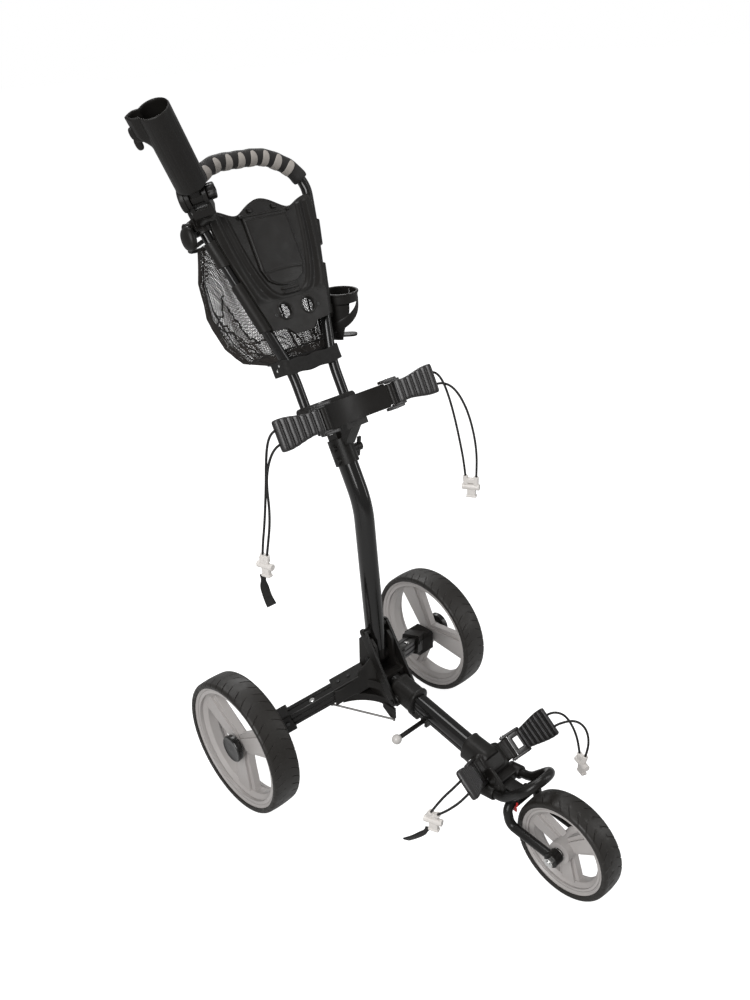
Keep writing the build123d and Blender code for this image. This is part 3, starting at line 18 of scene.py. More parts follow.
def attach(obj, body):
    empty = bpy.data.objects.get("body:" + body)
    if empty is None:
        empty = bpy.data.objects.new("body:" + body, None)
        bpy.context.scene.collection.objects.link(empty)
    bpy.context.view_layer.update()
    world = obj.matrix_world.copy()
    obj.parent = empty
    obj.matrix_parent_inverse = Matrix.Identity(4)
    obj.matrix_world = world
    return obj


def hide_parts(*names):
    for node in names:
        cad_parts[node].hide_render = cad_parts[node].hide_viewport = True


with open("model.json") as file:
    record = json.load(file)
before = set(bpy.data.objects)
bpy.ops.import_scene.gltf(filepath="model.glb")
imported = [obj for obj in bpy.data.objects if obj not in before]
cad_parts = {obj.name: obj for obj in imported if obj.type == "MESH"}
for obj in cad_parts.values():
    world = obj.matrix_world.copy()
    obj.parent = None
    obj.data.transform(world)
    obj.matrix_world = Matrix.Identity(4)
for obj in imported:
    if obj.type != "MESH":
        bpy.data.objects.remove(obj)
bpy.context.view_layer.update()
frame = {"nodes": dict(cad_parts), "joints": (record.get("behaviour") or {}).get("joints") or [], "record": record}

log = logging.getLogger("push_cart")
Array = np.ndarray
MM = 0.001
SAME_POINT = 1e-6


# Shapes


@dataclass(frozen=True)
class Axes:
    """Local axes of a sub-assembly: a point is given across, along and off its plane."""

    origin: Array
    across: Array
    along: Array
    off: Array

    def at(self, x: float | Array, y: float | Array, z: float | Array) -> Array:
        """Place of local points: origin + x * across + y * along + z * off, on whole arrays.

        Args:
            x: distance across, a number or an array.
            y: distance along.
            z: distance off the plane.

        Returns:
            Points with the three coordinates on the last axis.
        """
        x, y, z = np.broadcast_arrays(*(np.asarray(v, float) for v in (x, y, z)))
        return (
            self.origin
            + x[..., None] * self.across
            + y[..., None] * self.along
            + z[..., None] * self.off
        )

    def moved(self, x: float, y: float, z: float) -> "Axes":
        """The same axes from another origin, given in these axes."""
        return Axes(self.at(x, y, z), self.across, self.along, self.off)


@dataclass(frozen=True)
class Shell:
    """A mesh as arrays: points, and four-sided faces as rows of point numbers."""

    points: Array
    quads: Array

    def __add__(self, other: "Shell") -> "Shell":
        """Both shells as one, the second one's point numbers moved up."""
        shift = len(self.points)
        return Shell(
            np.concatenate([self.points, other.points]), np.concatenate([self.quads, other.quads + shift])
        )

    def piece(
        self, name: str, finish: "Finish", body: str, slot: str, crease: float = 38.0, stands_for: str = ""
    ) -> bpy.types.Object:
        """Makes a Blender object that rides on a body.

        Args:
            name: the piece's name.
            finish: its finish.
            body: the body that it moves with.
            slot: the record's material slot; not used.
            crease: edges sharper than this angle, in degrees, stay sharp.
            stands_for: the CAD node that it replaces, if any.

        Returns:
            The new object.
        """
        mesh = bpy.data.meshes.new(name)
        mesh.from_pydata(self.points.tolist(), [], self.quads.tolist())
        work = bmesh.new()
        work.from_mesh(mesh)
        bmesh.ops.remove_doubles(work, verts=work.verts, dist=SAME_POINT)
        bmesh.ops.recalc_face_normals(work, faces=work.faces)
        work.to_mesh(mesh)
        work.free()
        mesh.shade_smooth()
        mesh.set_sharp_from_angle(angle=math.radians(crease))
        made = add_piece(mesh, finish, body)
        if stands_for:
            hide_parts(stands_for)
        log.info("%s: %d faces on %s", name, len(mesh.polygons), body)
        return made


def add_piece(
    data: bpy.types.Mesh | bpy.types.Curve, finish: "Finish", body: str
) -> bpy.types.Object:
    """Object of a mesh or curve in its finish, riding on a body.

    Args:
        data: the mesh or curve, whose name the object takes.
        finish: its finish.
        body: the body that it moves with.

    Returns:
        The new object.
    """
    data.materials.append(finish.material())
    made = bpy.data.objects.new(data.name, data)
    bpy.context.scene.collection.objects.link(made)
    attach(made, body)
    return made


def grid(points: Array, wrap_u: bool = False, wrap_v: bool = False) -> Shell:
    """Quads over a grid of points: face (i, j) joins its own point to the next ones along u and v.

    Args:
        points: places on the grid, with shape (u, v, 3).
        wrap_u: joins the last row to the first.
        wrap_v: joins the last column to the first.

    Returns:
        The shell.
    """
    rows, columns = points.shape[:2]
    number = np.arange(rows * columns).reshape(rows, columns)
    number = np.concatenate([number, number[:1]]) if wrap_u else number
    number = np.concatenate([number, number[:, :1]], axis=1) if wrap_v else number
    quads = np.stack([number[:-1, :-1], number[1:, :-1], number[1:, 1:], number[:-1, 1:]], axis=-1)
    return Shell(points.reshape(-1, 3), quads.reshape(-1, 4))


def unit(v: Array) -> Array:
    """Vectors of length one along the last axis."""
    v = np.asarray(v, float)
    return v / np.maximum(np.linalg.norm(v, axis=-1, keepdims=True), 1e-12)


def side_axes(axis: Array) -> tuple:
    """Two directions square to an axis and to each other.

    Args:
        axis: the axis's direction.

    Returns:
        The two directions, of length one.
    """
    axis = unit(axis)
    hint = np.array([0.0, 0, 1]) if abs(axis[2]) < 0.9 else np.array([1.0, 0, 0])
    first = unit(np.cross(hint, axis))
    return first, np.cross(axis, first)


def joined(shells: list) -> Shell:
    """Several shells as one.

    Args:
        shells: the shells, in order.

    Returns:
        The whole.
    """
    whole = shells[0]
    for shell in shells[1:]:
        whole = whole + shell
    return whole


def capped(rings: Array) -> Shell:
    """Rings joined in order, each end closed onto the middle of its ring."""
    ends = [np.broadcast_to(ring.mean(0), ring.shape)[None] for ring in (rings[0], rings[-1])]
    return grid(np.concatenate([ends[0], rings, ends[1]]), wrap_v=True)


def soft(w: Array, power: float) -> Array:
    """Signed power of a sine or cosine, which squares off a round section."""
    return np.sign(w) * np.abs(w) ** (2 / power)


def ease(w: Array) -> Array:
    """Smooth step: 3 w^2 - 2 w^3 with w held between 0 and 1."""
    w = np.clip(w, 0, 1)
    return w * w * (3 - 2 * w)


def turned(profile: list, origin: Array, axis: Array, steps: int = 32) -> Shell:
    """A profile turned about an axis: origin + a * axis + r * (cos(angle), sin(angle)).

    Args:
        profile: pairs of distance along the axis and radius.
        origin: a point on the axis.
        axis: the axis's direction.
        steps: how many columns go round.

    Returns:
        The shell, closed where a radius is 0.
    """
    along, radius = np.array(profile, float).T
    angle = np.linspace(0, 2 * np.pi, steps, endpoint=False)
    first, second = side_axes(axis)
    spoke = np.cos(angle)[:, None] * first + np.sin(angle)[:, None] * second
    points = np.asarray(origin) + along[:, None, None] * unit(axis) + radius[:, None, None] * spoke
    return grid(points, wrap_v=True)


def carried(
    path: Array, profile: Array, up: Array, size: float | Array = 1.0, closed: bool = False
) -> Shell:
    """A closed profile carried along a path: path + size * (px * side + py * top).

    Side and top are square to the path, and top leans toward up.

    Args:
        path: places along the path, with shape (n, 3).
        profile: closed section as pairs of side and top.
        up: direction that the section's top leans to, one vector or one for each place.
        size: scale of the section, one value or one for each place.
        closed: joins the path's end to its start, and otherwise the ends are capped.

    Returns:
        The shell.
    """
    ahead = np.roll(path, -1, 0) - np.roll(path, 1, 0) if closed else np.gradient(path, axis=0)
    ahead = unit(ahead)
    up = np.broadcast_to(np.asarray(up, float), path.shape)
    top = unit(up - (up * ahead).sum(-1, keepdims=True) * ahead)
    side = np.cross(ahead, top)
    size = np.broadcast_to(np.asarray(size, float), len(path))[:, None, None]
    offset = profile[None, :, :1] * side[:, None] + profile[None, :, 1:] * top[:, None]
    rows = path[:, None] + size * offset
    return grid(rows, wrap_u=True, wrap_v=True) if closed else capped(rows)


def circle(radius: float, steps: int = 12) -> Array:
    """Round section: radius * (cos(angle), sin(angle))."""
    angle = np.linspace(0, 2 * np.pi, steps, endpoint=False)
    return radius * np.stack([np.cos(angle), np.sin(angle)], -1)


def rounded(width: float, height: float, power: float = 4.0, steps: int = 24) -> Array:
    """Section with rounded corners: a superellipse of the given power.

    Args:
        width: the section's width.
        height: its height.
        power: 2 is an ellipse, and higher is more like a rectangle.
        steps: places round it.

    Returns:
        Pairs of side and top.
    """
    angle = np.linspace(0, 2 * np.pi, steps, endpoint=False)
    side, top = soft(np.cos(angle), power), soft(np.sin(angle), power)
    return np.stack([width / 2 * side, height / 2 * top], -1)


def pillow(axes: Axes, half: tuple, power: float = 5.0, steps: int = 24) -> Shell:
    """Block with soft edges: a superellipsoid, half * sign(w) * |w| ** (2 / power) on each axis.

    Args:
        axes: where its middle is and which way it lies.
        half: half sizes across, along and off.
        power: 2 is an ellipsoid, and higher is more like a box.
        steps: columns round it.

    Returns:
        The shell.
    """
    tilt = np.linspace(-np.pi / 2, np.pi / 2, steps // 2 + 1)[:, None]
    turn = np.linspace(0, 2 * np.pi, steps, endpoint=False)[None]
    x = half[0] * soft(np.cos(tilt), power) * soft(np.cos(turn), power)
    y = half[1] * soft(np.cos(tilt), power) * soft(np.sin(turn), power)
    z = half[2] * soft(np.sin(tilt), power) * np.ones_like(turn)
    return grid(axes.at(x, y, z), wrap_v=True)


def arc_course(corners: Array, radii: list, steps: int = 10) -> Array:
    """Course of straight runs with a round bend at each inner corner.

    A bend of radius r starts r * tan(turn / 2) before its corner and turns about a point r off the run.

    Args:
        corners: the course's corners, with shape (n, 3).
        radii: one bend radius for each inner corner.
        steps: places on each bend.

    Returns:
        Places along the course.
    """
    out = [corners[:1]]
    for before, corner, after, radius in zip(corners, corners[1:], corners[2:], radii):
        a, b = unit(before - corner), unit(after - corner)
        half = np.arccos(np.clip(a @ b, -1, 1)) / 2
        middle = corner + unit(a + b) * radius / np.sin(half)
        start = corner + a * radius / np.tan(half) - middle
        end = corner + b * radius / np.tan(half) - middle
        share = np.linspace(0, 1, steps)[:, None]
        turn = np.pi - 2 * half
        swing = (np.sin((1 - share) * turn) * start + np.sin(share * turn) * end) / np.sin(turn)
        out.append(middle + swing)
    out.append(corners[-1:])
    return np.concatenate(out)


def even(path: Array, count: int, closed: bool = False) -> Array:
    """The same path at places that are evenly spaced along its length.

    Args:
        path: places along the path, with shape (n, 3).
        count: how many places to give.
        closed: the path goes on from its end to its start.

    Returns:
        The even places.
    """
    path = np.concatenate([path, path[:1]]) if closed else path
    run = np.concatenate([[0], np.cumsum(np.linalg.norm(np.diff(path, axis=0), axis=1))])
    at = np.linspace(0, run[-1], count, endpoint=not closed)
    return np.stack([np.interp(at, run, path[:, k]) for k in range(3)], -1)


# Finishes


def set_inputs(tree: bpy.types.NodeTree, node: bpy.types.Node, inputs: dict) -> bpy.types.Node:
    """Sets a node's inputs: a socket is linked to the input, and any other value is written on it.

    Args:
        tree: the node tree.
        node: the node.
        inputs: values or sockets by the input's name or number.

    Returns:
        The same node.
    """
    for key, value in inputs.items():
        if isinstance(value, bpy.types.NodeSocket):
            tree.links.new(value, node.inputs[key])
        else:
            node.inputs[key].default_value = value
    return node


def add_node(tree: bpy.types.NodeTree, kind: str, inputs: dict, **settings: object) -> bpy.types.Node:
    """New node with its settings and then its inputs.

    Args:
        tree: the node tree.
        kind: Blender's name for the kind of node, without its prefix.
        inputs: values or sockets, as in set_inputs.
        settings: the node's own properties, such as its operation.

    Returns:
        The node.
    """
    node = tree.nodes.new(f"ShaderNode{kind}")
    for key, value in settings.items():
        setattr(node, key, value)
    return set_inputs(tree, node, inputs)


class Pattern(Enum):
    """What a finish's fine relief looks like."""

    GRAIN = "grain"
    PEEL = "peel"
    FOAM = "foam"
    BRUSHED = "brushed"
    WOVEN = "woven"


@dataclass(frozen=True)
class Finish:
    """A finish with its colour, gloss and fine relief, as procedural nodes on Object coordinates."""

    name: str
    colour: tuple
    rough: tuple
    grain: float
    relief: float
    pattern: Pattern = Pattern.GRAIN
    mottle: float = 0.25
    patch: float = 0.05
    metallic: float = 0.0
    coat: float = 0.0
    sheen: float = 0.0
    specular: float = 0.5
    edge: float = 0.0008
    wear: float = 0.5

    def material(self) -> bpy.types.Material:
        """The finish's material, made once.

        Returns:
            A material whose colour and roughness drift in patches, with the pattern as bump.
        """
        found = bpy.data.materials.get(self.name)
        if found:
            return found
        made = bpy.data.materials.new(self.name)
        made.use_nodes = True
        tree = made.node_tree
        place = tree.nodes.new("ShaderNodeTexCoord").outputs["Object"]
        softened = add_node(tree, "Bevel", {"Radius": self.edge}, samples=4).outputs["Normal"]
        drift = {"Value": self.noise(tree, place, 2.3 / self.patch, 6.0), "From Min": 0.3, "From Max": 0.7}
        spread = {"To Min": self.rough[0], "To Max": self.rough[1]}
        gloss = add_node(tree, "MapRange", drift | spread)
        raised = {"Strength": 1.0, "Distance": self.relief, "Height": self.height(tree, place)}
        bump = add_node(tree, "Bump", raised | {"Normal": softened})
        set_inputs(tree, tree.nodes["Principled BSDF"], {
            "Base Color": self.worn(tree, self.mottled(tree, place), softened),
            "Metallic": self.metallic,
            "Roughness": gloss.outputs["Result"],
            "Coat Weight": self.coat,
            "Coat Roughness": 0.08,
            "Sheen Weight": self.sheen,
            "Specular IOR Level": self.specular,
            "Normal": bump.outputs["Normal"],
        })
        return made

    def tone(self, change: float) -> tuple:
        """The colour made lighter or darker by a share, held at white, with its alpha."""
        return (*(min(1.0, c * (1 + change)) for c in self.colour), 1)

    def mottled(self, tree: bpy.types.NodeTree, place: bpy.types.NodeSocket) -> bpy.types.NodeSocket:
        """Colour that drifts in patches from darker to lighter by the mottle.

        Args:
            tree: the material's node tree.
            place: the output that gives the coordinates.

        Returns:
            The output with the colour.
        """
        patch = self.noise(tree, place, 1 / self.patch, 4.0)
        ends = {"A": self.tone(-self.mottle), "B": self.tone(self.mottle)}
        return add_node(tree, "Mix", {"Factor": patch} | ends, data_type="RGBA").outputs["Result"]

    def worn(
        self, tree: bpy.types.NodeTree, colour: bpy.types.NodeSocket, softened: bpy.types.NodeSocket
    ) -> bpy.types.NodeSocket:
        """Colour that pales along edges: where the softened normal leaves the true one.

        Args:
            tree: the material's node tree.
            colour: the output that gives the plain colour.
            softened: the output that gives the softened normal.

        Returns:
            The output with the worn colour.
        """
        true = tree.nodes.new("ShaderNodeNewGeometry").outputs["Normal"]
        agree = add_node(tree, "VectorMath", {0: true, 1: softened}, operation="DOT_PRODUCT")
        span = {"Value": agree.outputs["Value"], "From Min": 0.995, "From Max": 0.9}
        share = add_node(tree, "MapRange", span).outputs["Result"]
        ends = {"Factor": share, "A": colour, "B": self.tone(self.wear)}
        return add_node(tree, "Mix", ends, data_type="RGBA").outputs["Result"]

    def noise(
        self, tree: bpy.types.NodeTree, place: bpy.types.NodeSocket, scale: float, detail: float
    ) -> bpy.types.NodeSocket:
        """Value of a noise of the given scale.

        Args:
            tree: the material's node tree.
            place: the output that gives the coordinates.
            scale: cells per metre.
            detail: octaves.

        Returns:
            The noise's output.
        """
        inputs = {"Vector": place, "Scale": scale, "Detail": detail}
        return add_node(tree, "TexNoise", inputs).outputs["Fac"]

    def height(self, tree: bpy.types.NodeTree, place: bpy.types.NodeSocket) -> bpy.types.NodeSocket:
        """Height of the fine relief.

        Args:
            tree: the material's node tree.
            place: the output that gives the coordinates.

        Returns:
            The output to bump by.
        """
        scale = 1 / self.grain
        if self.pattern in (Pattern.GRAIN, Pattern.PEEL):
            return self.noise(tree, place, scale, 1.0 if self.pattern is Pattern.PEEL else 3.0)
        if self.pattern is Pattern.FOAM:
            return add_node(tree, "TexVoronoi", {"Vector": place, "Scale": scale}).outputs["Distance"]
        if self.pattern is Pattern.BRUSHED:
            stretch = add_node(tree, "Mapping", {"Vector": place, "Scale": (0.06, 1, 1)})
            return self.noise(tree, stretch.outputs["Vector"], scale, 2.0)
        yarn = {"Vector": place, "Scale": scale / 3.2, "Distortion": 0.6}
        warp, weft = (
            add_node(tree, "TexWave", yarn, bands_direction=direction).outputs["Fac"]
            for direction in ("X", "Z")
        )
        return add_node(tree, "Math", {0: warp, 1: weft}, operation="MAXIMUM").outputs["Value"]


TUBE_PAINT = Finish(
    "tube_paint", (0.0052, 0.0049, 0.0046), (0.12, 0.16), 0.004, 0.000004, Pattern.PEEL, specular=0.38
)
SATIN_TUBE = Finish(
    "satin_tube", (0.0075, 0.007, 0.0064), (0.26, 0.34), 0.0009, 0.00002, specular=0.26, wear=0.9
)
MOULDING = Finish(
    "black_moulding", (0.0086, 0.0078, 0.007), (0.34, 0.46), 0.0007, 0.00004, specular=0.21, wear=1.1
)
ARM_MOULDING = Finish(
    "arm_moulding", (0.0145, 0.0135, 0.0135), (0.3, 0.36), 0.0012, 0.000003, specular=0.45, wear=0.0
)
TYRE_FOAM = Finish(
    "tyre_foam", (0.0125, 0.0108, 0.0092), (0.4, 0.55), 0.0011, 0.00005, Pattern.FOAM, specular=0.35
)
RIM_GREY = Finish("rim_grey", (0.4, 0.378, 0.366), (0.3, 0.42), 0.0008, 0.00003, mottle=0.04, wear=0.12)
CAP_BLACK = Finish("cap_black", (0.008, 0.0075, 0.007), (0.2, 0.3), 0.002, 0.00002, specular=0.4)
STEEL = Finish(
    "bright_steel", (0.66, 0.66, 0.65), (0.16, 0.28), 0.0004, 0.00002, Pattern.BRUSHED, mottle=0.08,
    metallic=1.0, wear=0.1,
)
DARK_STEEL = Finish("dark_steel", (0.05, 0.05, 0.05), (0.3, 0.42), 0.0005, 0.00002, metallic=0.9)
WIRE_STEEL = Finish(
    "wire_steel", (0.16, 0.155, 0.15), (0.4, 0.5), 0.0004, 0.00001, Pattern.BRUSHED, metallic=0.8, wear=0.2
)
PALE_KNOB = Finish("pale_knob", (0.5, 0.48, 0.46), (0.28, 0.4), 0.002, 0.00003, mottle=0.06, wear=0.1)
PALE_CLASP = Finish(
    "pale_clasp", (0.66, 0.63, 0.6), (0.3, 0.42), 0.0012, 0.00004, mottle=0.06, patch=0.02, wear=0.1
)
RED = Finish("red_moulding", (0.5, 0.02, 0.02), (0.25, 0.4), 0.001, 0.00003, mottle=0.1)
GRIP_FOAM = Finish(
    "grip_foam", (0.0115, 0.0105, 0.01), (0.6, 0.76), 0.0009, 0.00012, Pattern.FOAM, sheen=0.04, specular=0.3
)
INLAY_GREY = Finish(
    "inlay_grey", (0.32, 0.295, 0.27), (0.55, 0.7), 0.0012, 0.0001, mottle=0.08, patch=0.03, wear=0.1
)
NET_YARN = Finish(
    "net_yarn", (0.03, 0.027, 0.025), (0.75, 0.9), 0.0005, 0.00004, mottle=0.5, patch=0.02, edge=0.0001,
    specular=0.1,
)
TAPE = Finish(
    "woven_tape", (0.0085, 0.008, 0.0075), (0.6, 0.8), 0.0009, 0.0001, Pattern.WOVEN, sheen=0.04,
    patch=0.02, edge=0.0003, specular=0.25,
)
CORD_BRAID = Finish(
    "cord_braid", (0.008, 0.0076, 0.0072), (0.5, 0.66), 0.0009, 0.00012, Pattern.WOVEN, patch=0.02,
    edge=0.0002, specular=0.3,
)


# Where things are


def joint(name: str) -> dict:
    """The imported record's joint of that name."""
    return next(j for j in frame["joints"] if j["name"] == name)


def leaning(point: list, lean: float, back: float) -> Axes:
    """Axes in a plane that leans back from the ground by an angle.

    Args:
        point: a point on the plane's middle line.
        lean: the plane's angle above the ground, in degrees.
        back: how far the origin lies down the plane from the point.

    Returns:
        Axes with along up the plane and off toward the front.
    """
    c, s = math.cos(math.radians(lean)), math.sin(math.radians(lean))
    along = np.array([0, c, s])
    middle = np.array([0, point[1], point[2]])
    return Axes(middle - along * back, np.array([1.0, 0, 0]), along, np.array([0, -s, c]))


HANDLE = leaning(joint("handle_fold")["pos_m"], 64.8, 0.165)
CRADLE = leaning(joint("lower_arm_left_swing")["pos_m"], 41.9, 0.0)
BEAM = leaning([0, 82 * MM, 223.4 * MM], 102.2, 0.0)
GROUND = Axes(np.zeros(3), np.array([1.0, 0, 0]), np.array([0, 1.0, 0]), np.array([0, 0, 1.0]))


# Wheels


@dataclass(frozen=True)
class Tyre:
    """Foam tyre with slanted shoulder grooves that stands for a plain CAD ring."""

    node: str
    body: str
    centre: tuple
    radius: float
    half: float
    lip_r: float
    seat_r: float
    seat_half: float
    grooves: int
    groove_w: float = 2.2 * MM
    groove_d: float = 1.3 * MM
    slant: float = 16 * MM
    wall_draft: float = 1.5 * MM
    shoulder_x: float = 7 * MM
    shoulder_r: float = 6 * MM
    crown: float = 1.2 * MM

    def section(self) -> Array:
        """Half section from the rim's seat over the sidewall and shoulder to the crown.

        Returns:
            Pairs of distance from the wheel's middle plane and radius.
        """
        inner, lip = self.seat_half, self.lip_r
        wall = [(inner, self.seat_r), (inner, lip), (self.half - self.wall_draft, lip)]
        flat = self.half - self.shoulder_x
        turn = np.linspace(0, np.pi / 2, 9)
        x = flat + self.shoulder_x * np.cos(turn)
        r = self.radius - self.crown - self.shoulder_r + self.shoulder_r * np.sin(turn)
        shoulder = np.stack([x, r], -1)
        share = np.linspace(0, 1, 8)[1:]
        crown_x = flat * (1 - share)
        crown = np.stack([crown_x, self.radius - self.crown * (crown_x / flat) ** 2], -1)
        return np.concatenate([np.array(wall), shoulder, crown])

    def build(self) -> bpy.types.Object:
        """Grooved surface: the section turned about the axle, with columns that follow the slanted grooves.

        Column angle = pitch angle + offset + slant * (|x| / half) ** 1.6 / radius, and the radius drops by
        the groove's depth on the columns in the middle of each groove, on the shoulders alone.

        Returns:
            The tyre.
        """
        half = self.section()
        mirror = half[-2::-1] * np.array([-1, 1])
        x, r = np.concatenate([half, mirror]).T
        pitch = 2 * np.pi / self.grooves
        w = self.groove_w / self.radius
        offset = np.array([0, 0.25 * w, 0.75 * w, w, 0.35 * pitch, 0.68 * pitch])
        deep = np.array([0, 1, 1, 0, 0, 0])
        angle = (np.arange(self.grooves)[:, None] * pitch + offset).ravel()
        cut = np.tile(deep, self.grooves)
        on_tread = np.clip((np.abs(x) - 0.24 * self.half) / (0.12 * self.half), 0, 1)
        on_tread = on_tread * (r > self.lip_r + 2.5 * MM)
        theta = angle[None] + (self.slant * (np.abs(x) / self.half) ** 1.6 / self.radius)[:, None]
        rad = r[:, None] - self.groove_d * on_tread[:, None] * cut[None]
        cx, cy, cz = self.centre
        wide = np.broadcast_to(cx + x[:, None], theta.shape)
        points = np.stack([wide, cy + rad * np.cos(theta), cz + rad * np.sin(theta)], -1)
        shell = grid(points, wrap_u=True, wrap_v=True)
        return shell.piece(f"{self.node}_tread", TYRE_FOAM, self.body, "tyre", stands_for=self.node)


@dataclass(frozen=True)
class Wheels:
    """The three wheels' tyres and the covers on the rear hubs, with the cover's profile in millimetres.

    A tyre's sizes are its radius, its half width, the radii of its lip and seat, and the seat's half width.
    """

    rear: tuple = (140 * MM, 30 * MM, 127.8 * MM, 115.1 * MM, 22.7 * MM)
    front: tuple = (96 * MM, 24 * MM, 83.3 * MM, 73.1 * MM, 17.7 * MM)
    rear_grooves: int = 44
    front_grooves: int = 32
    cover_profile: tuple = (
        (20, 0), (20, 26), (26.5, 27), (29.5, 27), (31, 26), (31.4, 24.5), (30.6, 22.5), (30, 20),
        (30.2, 10), (30.4, 0),
    )

    def cover(self, side: str) -> None:
        """Hub cover: a shallow dished disc turned about the axle, with a rolled edge.

        Args:
            side: left or right.
        """
        centre = np.array(joint(f"wheel_{side}_spin")["pos_m"])
        out = np.array([-1.0 if side == "left" else 1.0, 0, 0])
        made = turned(np.array(self.cover_profile) * MM, centre, out, 56)
        name, node = f"rear_hub_cover_{side}", f"rear_hub_cap_{side}"
        made.piece(name, CAP_BLACK, f"wheel_{side}", "cap", 30, stands_for=node)

    def tyre(self, node: str, body: str, sizes: tuple, grooves: int) -> None:
        """Builds a tyre round its wheel's joint."""
        Tyre(node, body, tuple(joint(f"{body}_spin")["pos_m"]), *sizes, grooves).build()

    def build(self) -> None:
        """Builds the rear tyres, each with its cover, and the front one."""
        for side in ("left", "right"):
            self.tyre(f"rear_tyre_{side}", f"wheel_{side}", self.rear, self.rear_grooves)
            self.cover(side)
        self.tyre("front_tyre", "wheel_front", self.front, self.front_grooves)


# Bag arms


@dataclass(frozen=True)
class BagArm:
    """Ribbed arm of a cradle, drawn from its hinge outward, with its side bars and the heads of its pin."""

    name: str
    cradle: Axes
    hinge: tuple
    rest: float
    length: float
    hinge_half: float
    side: int
    window: bool
    ribs: int = 7
    rise: float = 4.6 * MM
    thick: float = 9 * MM
    tip_half: float = 28 * MM
    waist_half: float = 20.5 * MM
    nose: float = 4 * MM
    pin_head: tuple = ((-0.4, 0), (-0.4, 3.4), (0.6, 3.4), (1.0, 2.8), (1.0, 0))

    def axes(self) -> Axes:
        """Axes at the hinge, turned out of the cradle's plane by the rest angle.

        Returns:
            Axes with across toward the tip, along the pin and off toward the bag.
        """
        angle = math.radians(self.rest)
        c, s = math.cos(angle), math.sin(angle)
        out = self.side * self.cradle.across
        run = c * out + s * self.cradle.off
        return Axes(self.cradle.at(*self.hinge), run, self.cradle.along, c * self.cradle.off - s * out)

    def pad(self) -> Shell:
        """Ribbed pad: a squared-off round section whose size follows the distance s from the hinge.

        The half width is a cubic in s through the hinge, waist and tip, and the top rises in round rolls,
        rise * |sin(pi f)| with f the number of rolls so far.

        Returns:
            The pad.
        """
        start = 25 * MM if self.window else 9.5 * MM
        s = np.linspace(start, self.length, 190)
        knots = np.array([0, 0.42 * self.length, self.length - 14 * MM, self.length])
        root = self.hinge_half + (3 if self.window else 9) * MM
        halves = [root, self.waist_half, self.tip_half - 0.6 * MM, self.tip_half - 1.4 * MM]
        width = np.polyval(np.polyfit(knots, halves, 3), s)
        f = (s - start - 3 * MM) / (self.length - start - 3 * MM) * self.ribs
        roll = np.abs(np.sin(np.pi * f)) * (f >= 0)
        past = np.clip((s - self.length + self.nose) / (1.1 * self.nose), 0, 1)
        end = np.sqrt(np.clip(1 - past**2, 0, 1))
        top = (self.thick / 2 + self.rise * roll) * (0.35 + 0.65 * end)
        low = -self.thick / 2 * (0.35 + 0.65 * end)
        turn = np.linspace(0, 2 * np.pi, 48, endpoint=False)[None]
        y = (width * (0.9 + 0.1 * end))[:, None] * soft(np.cos(turn), 7.0)
        z = ((top + low) / 2)[:, None] + ((top - low) / 2)[:, None] * soft(np.sin(turn), 4.5)
        return capped(self.axes().at(s[:, None], y, z))

    def build(self) -> None:
        """Builds the pad with its side bars and hooks, and the heads of its pin."""
        at = self.axes()
        parts = [self.pad()]
        heads = []
        reach = 14 * MM if self.window else 9 * MM
        for sign in (-1, 1):
            y = sign * (self.hinge_half + 2.9 * MM)
            bar = at.moved(reach, y, 0)
            parts.append(pillow(bar, (reach + 6.5 * MM, 2.6 * MM, 5.6 * MM), 5.0, 28))
            outer = y + sign * 2.6 * MM
            if not self.window:
                hook = at.moved(-1 * MM, sign * (self.hinge_half + 6.2 * MM), 0)
                parts.append(pillow(hook, (19 * MM, 3 * MM, 6.4 * MM), 6.0, 28))
                outer = sign * (self.hinge_half + 9 * MM)
            head = np.array(self.pin_head) * MM
            heads.append(turned(head, at.at(0, outer, 0), sign * at.along, 18))
        if self.window:
            bar = at.moved(10.9 * MM, 0, 0)
            parts.append(pillow(bar, (3.5 * MM, self.hinge_half + 1 * MM, 4.8 * MM), 6.0))
            for sign in (-1, 1):
                rail = at.moved(19 * MM, sign * 15.5 * MM, 0)
                parts.append(pillow(rail, (11 * MM, 5 * MM, 4.8 * MM), 5.0))
        body = f"arm_{self.name}"
        pad = joined(parts)
        pad.piece(f"{self.name}_pad", ARM_MOULDING, body, "black_plastic", 50, stands_for=self.node())
        joined(heads).piece(f"{self.name}_pin_heads", STEEL, body, "steel")

    def node(self) -> str:
        """Name of the CAD node that the arm stands for."""
        level, side = self.name.split("_")
        return f"{level}_arm_{side}"


@dataclass(frozen=True)
class BagArms:
    """The two arms of each cradle: the right hinge's place, then the rest angle, length and half hinge."""

    upper_hinge: tuple = (77 * MM, 171.5 * MM, 90 * MM)
    upper: tuple = (2.0, 104 * MM, 18.5 * MM)
    lower_hinge: tuple = (43 * MM, 0.0, 0.0)
    lower: tuple = (38.0, 92 * MM, 18.6 * MM)

    def build(self) -> None:
        """Builds the four arms round their hinges."""
        for word, side in (("left", -1), ("right", 1)):
            x, y, z = self.upper_hinge
            BagArm(f"upper_{word}", HANDLE, (side * x, y, z), *self.upper, side, False).build()
            x, y, z = self.lower_hinge
            BagArm(f"lower_{word}", CRADLE, (side * x, y, z), *self.lower, side, True).build()


# Chassis


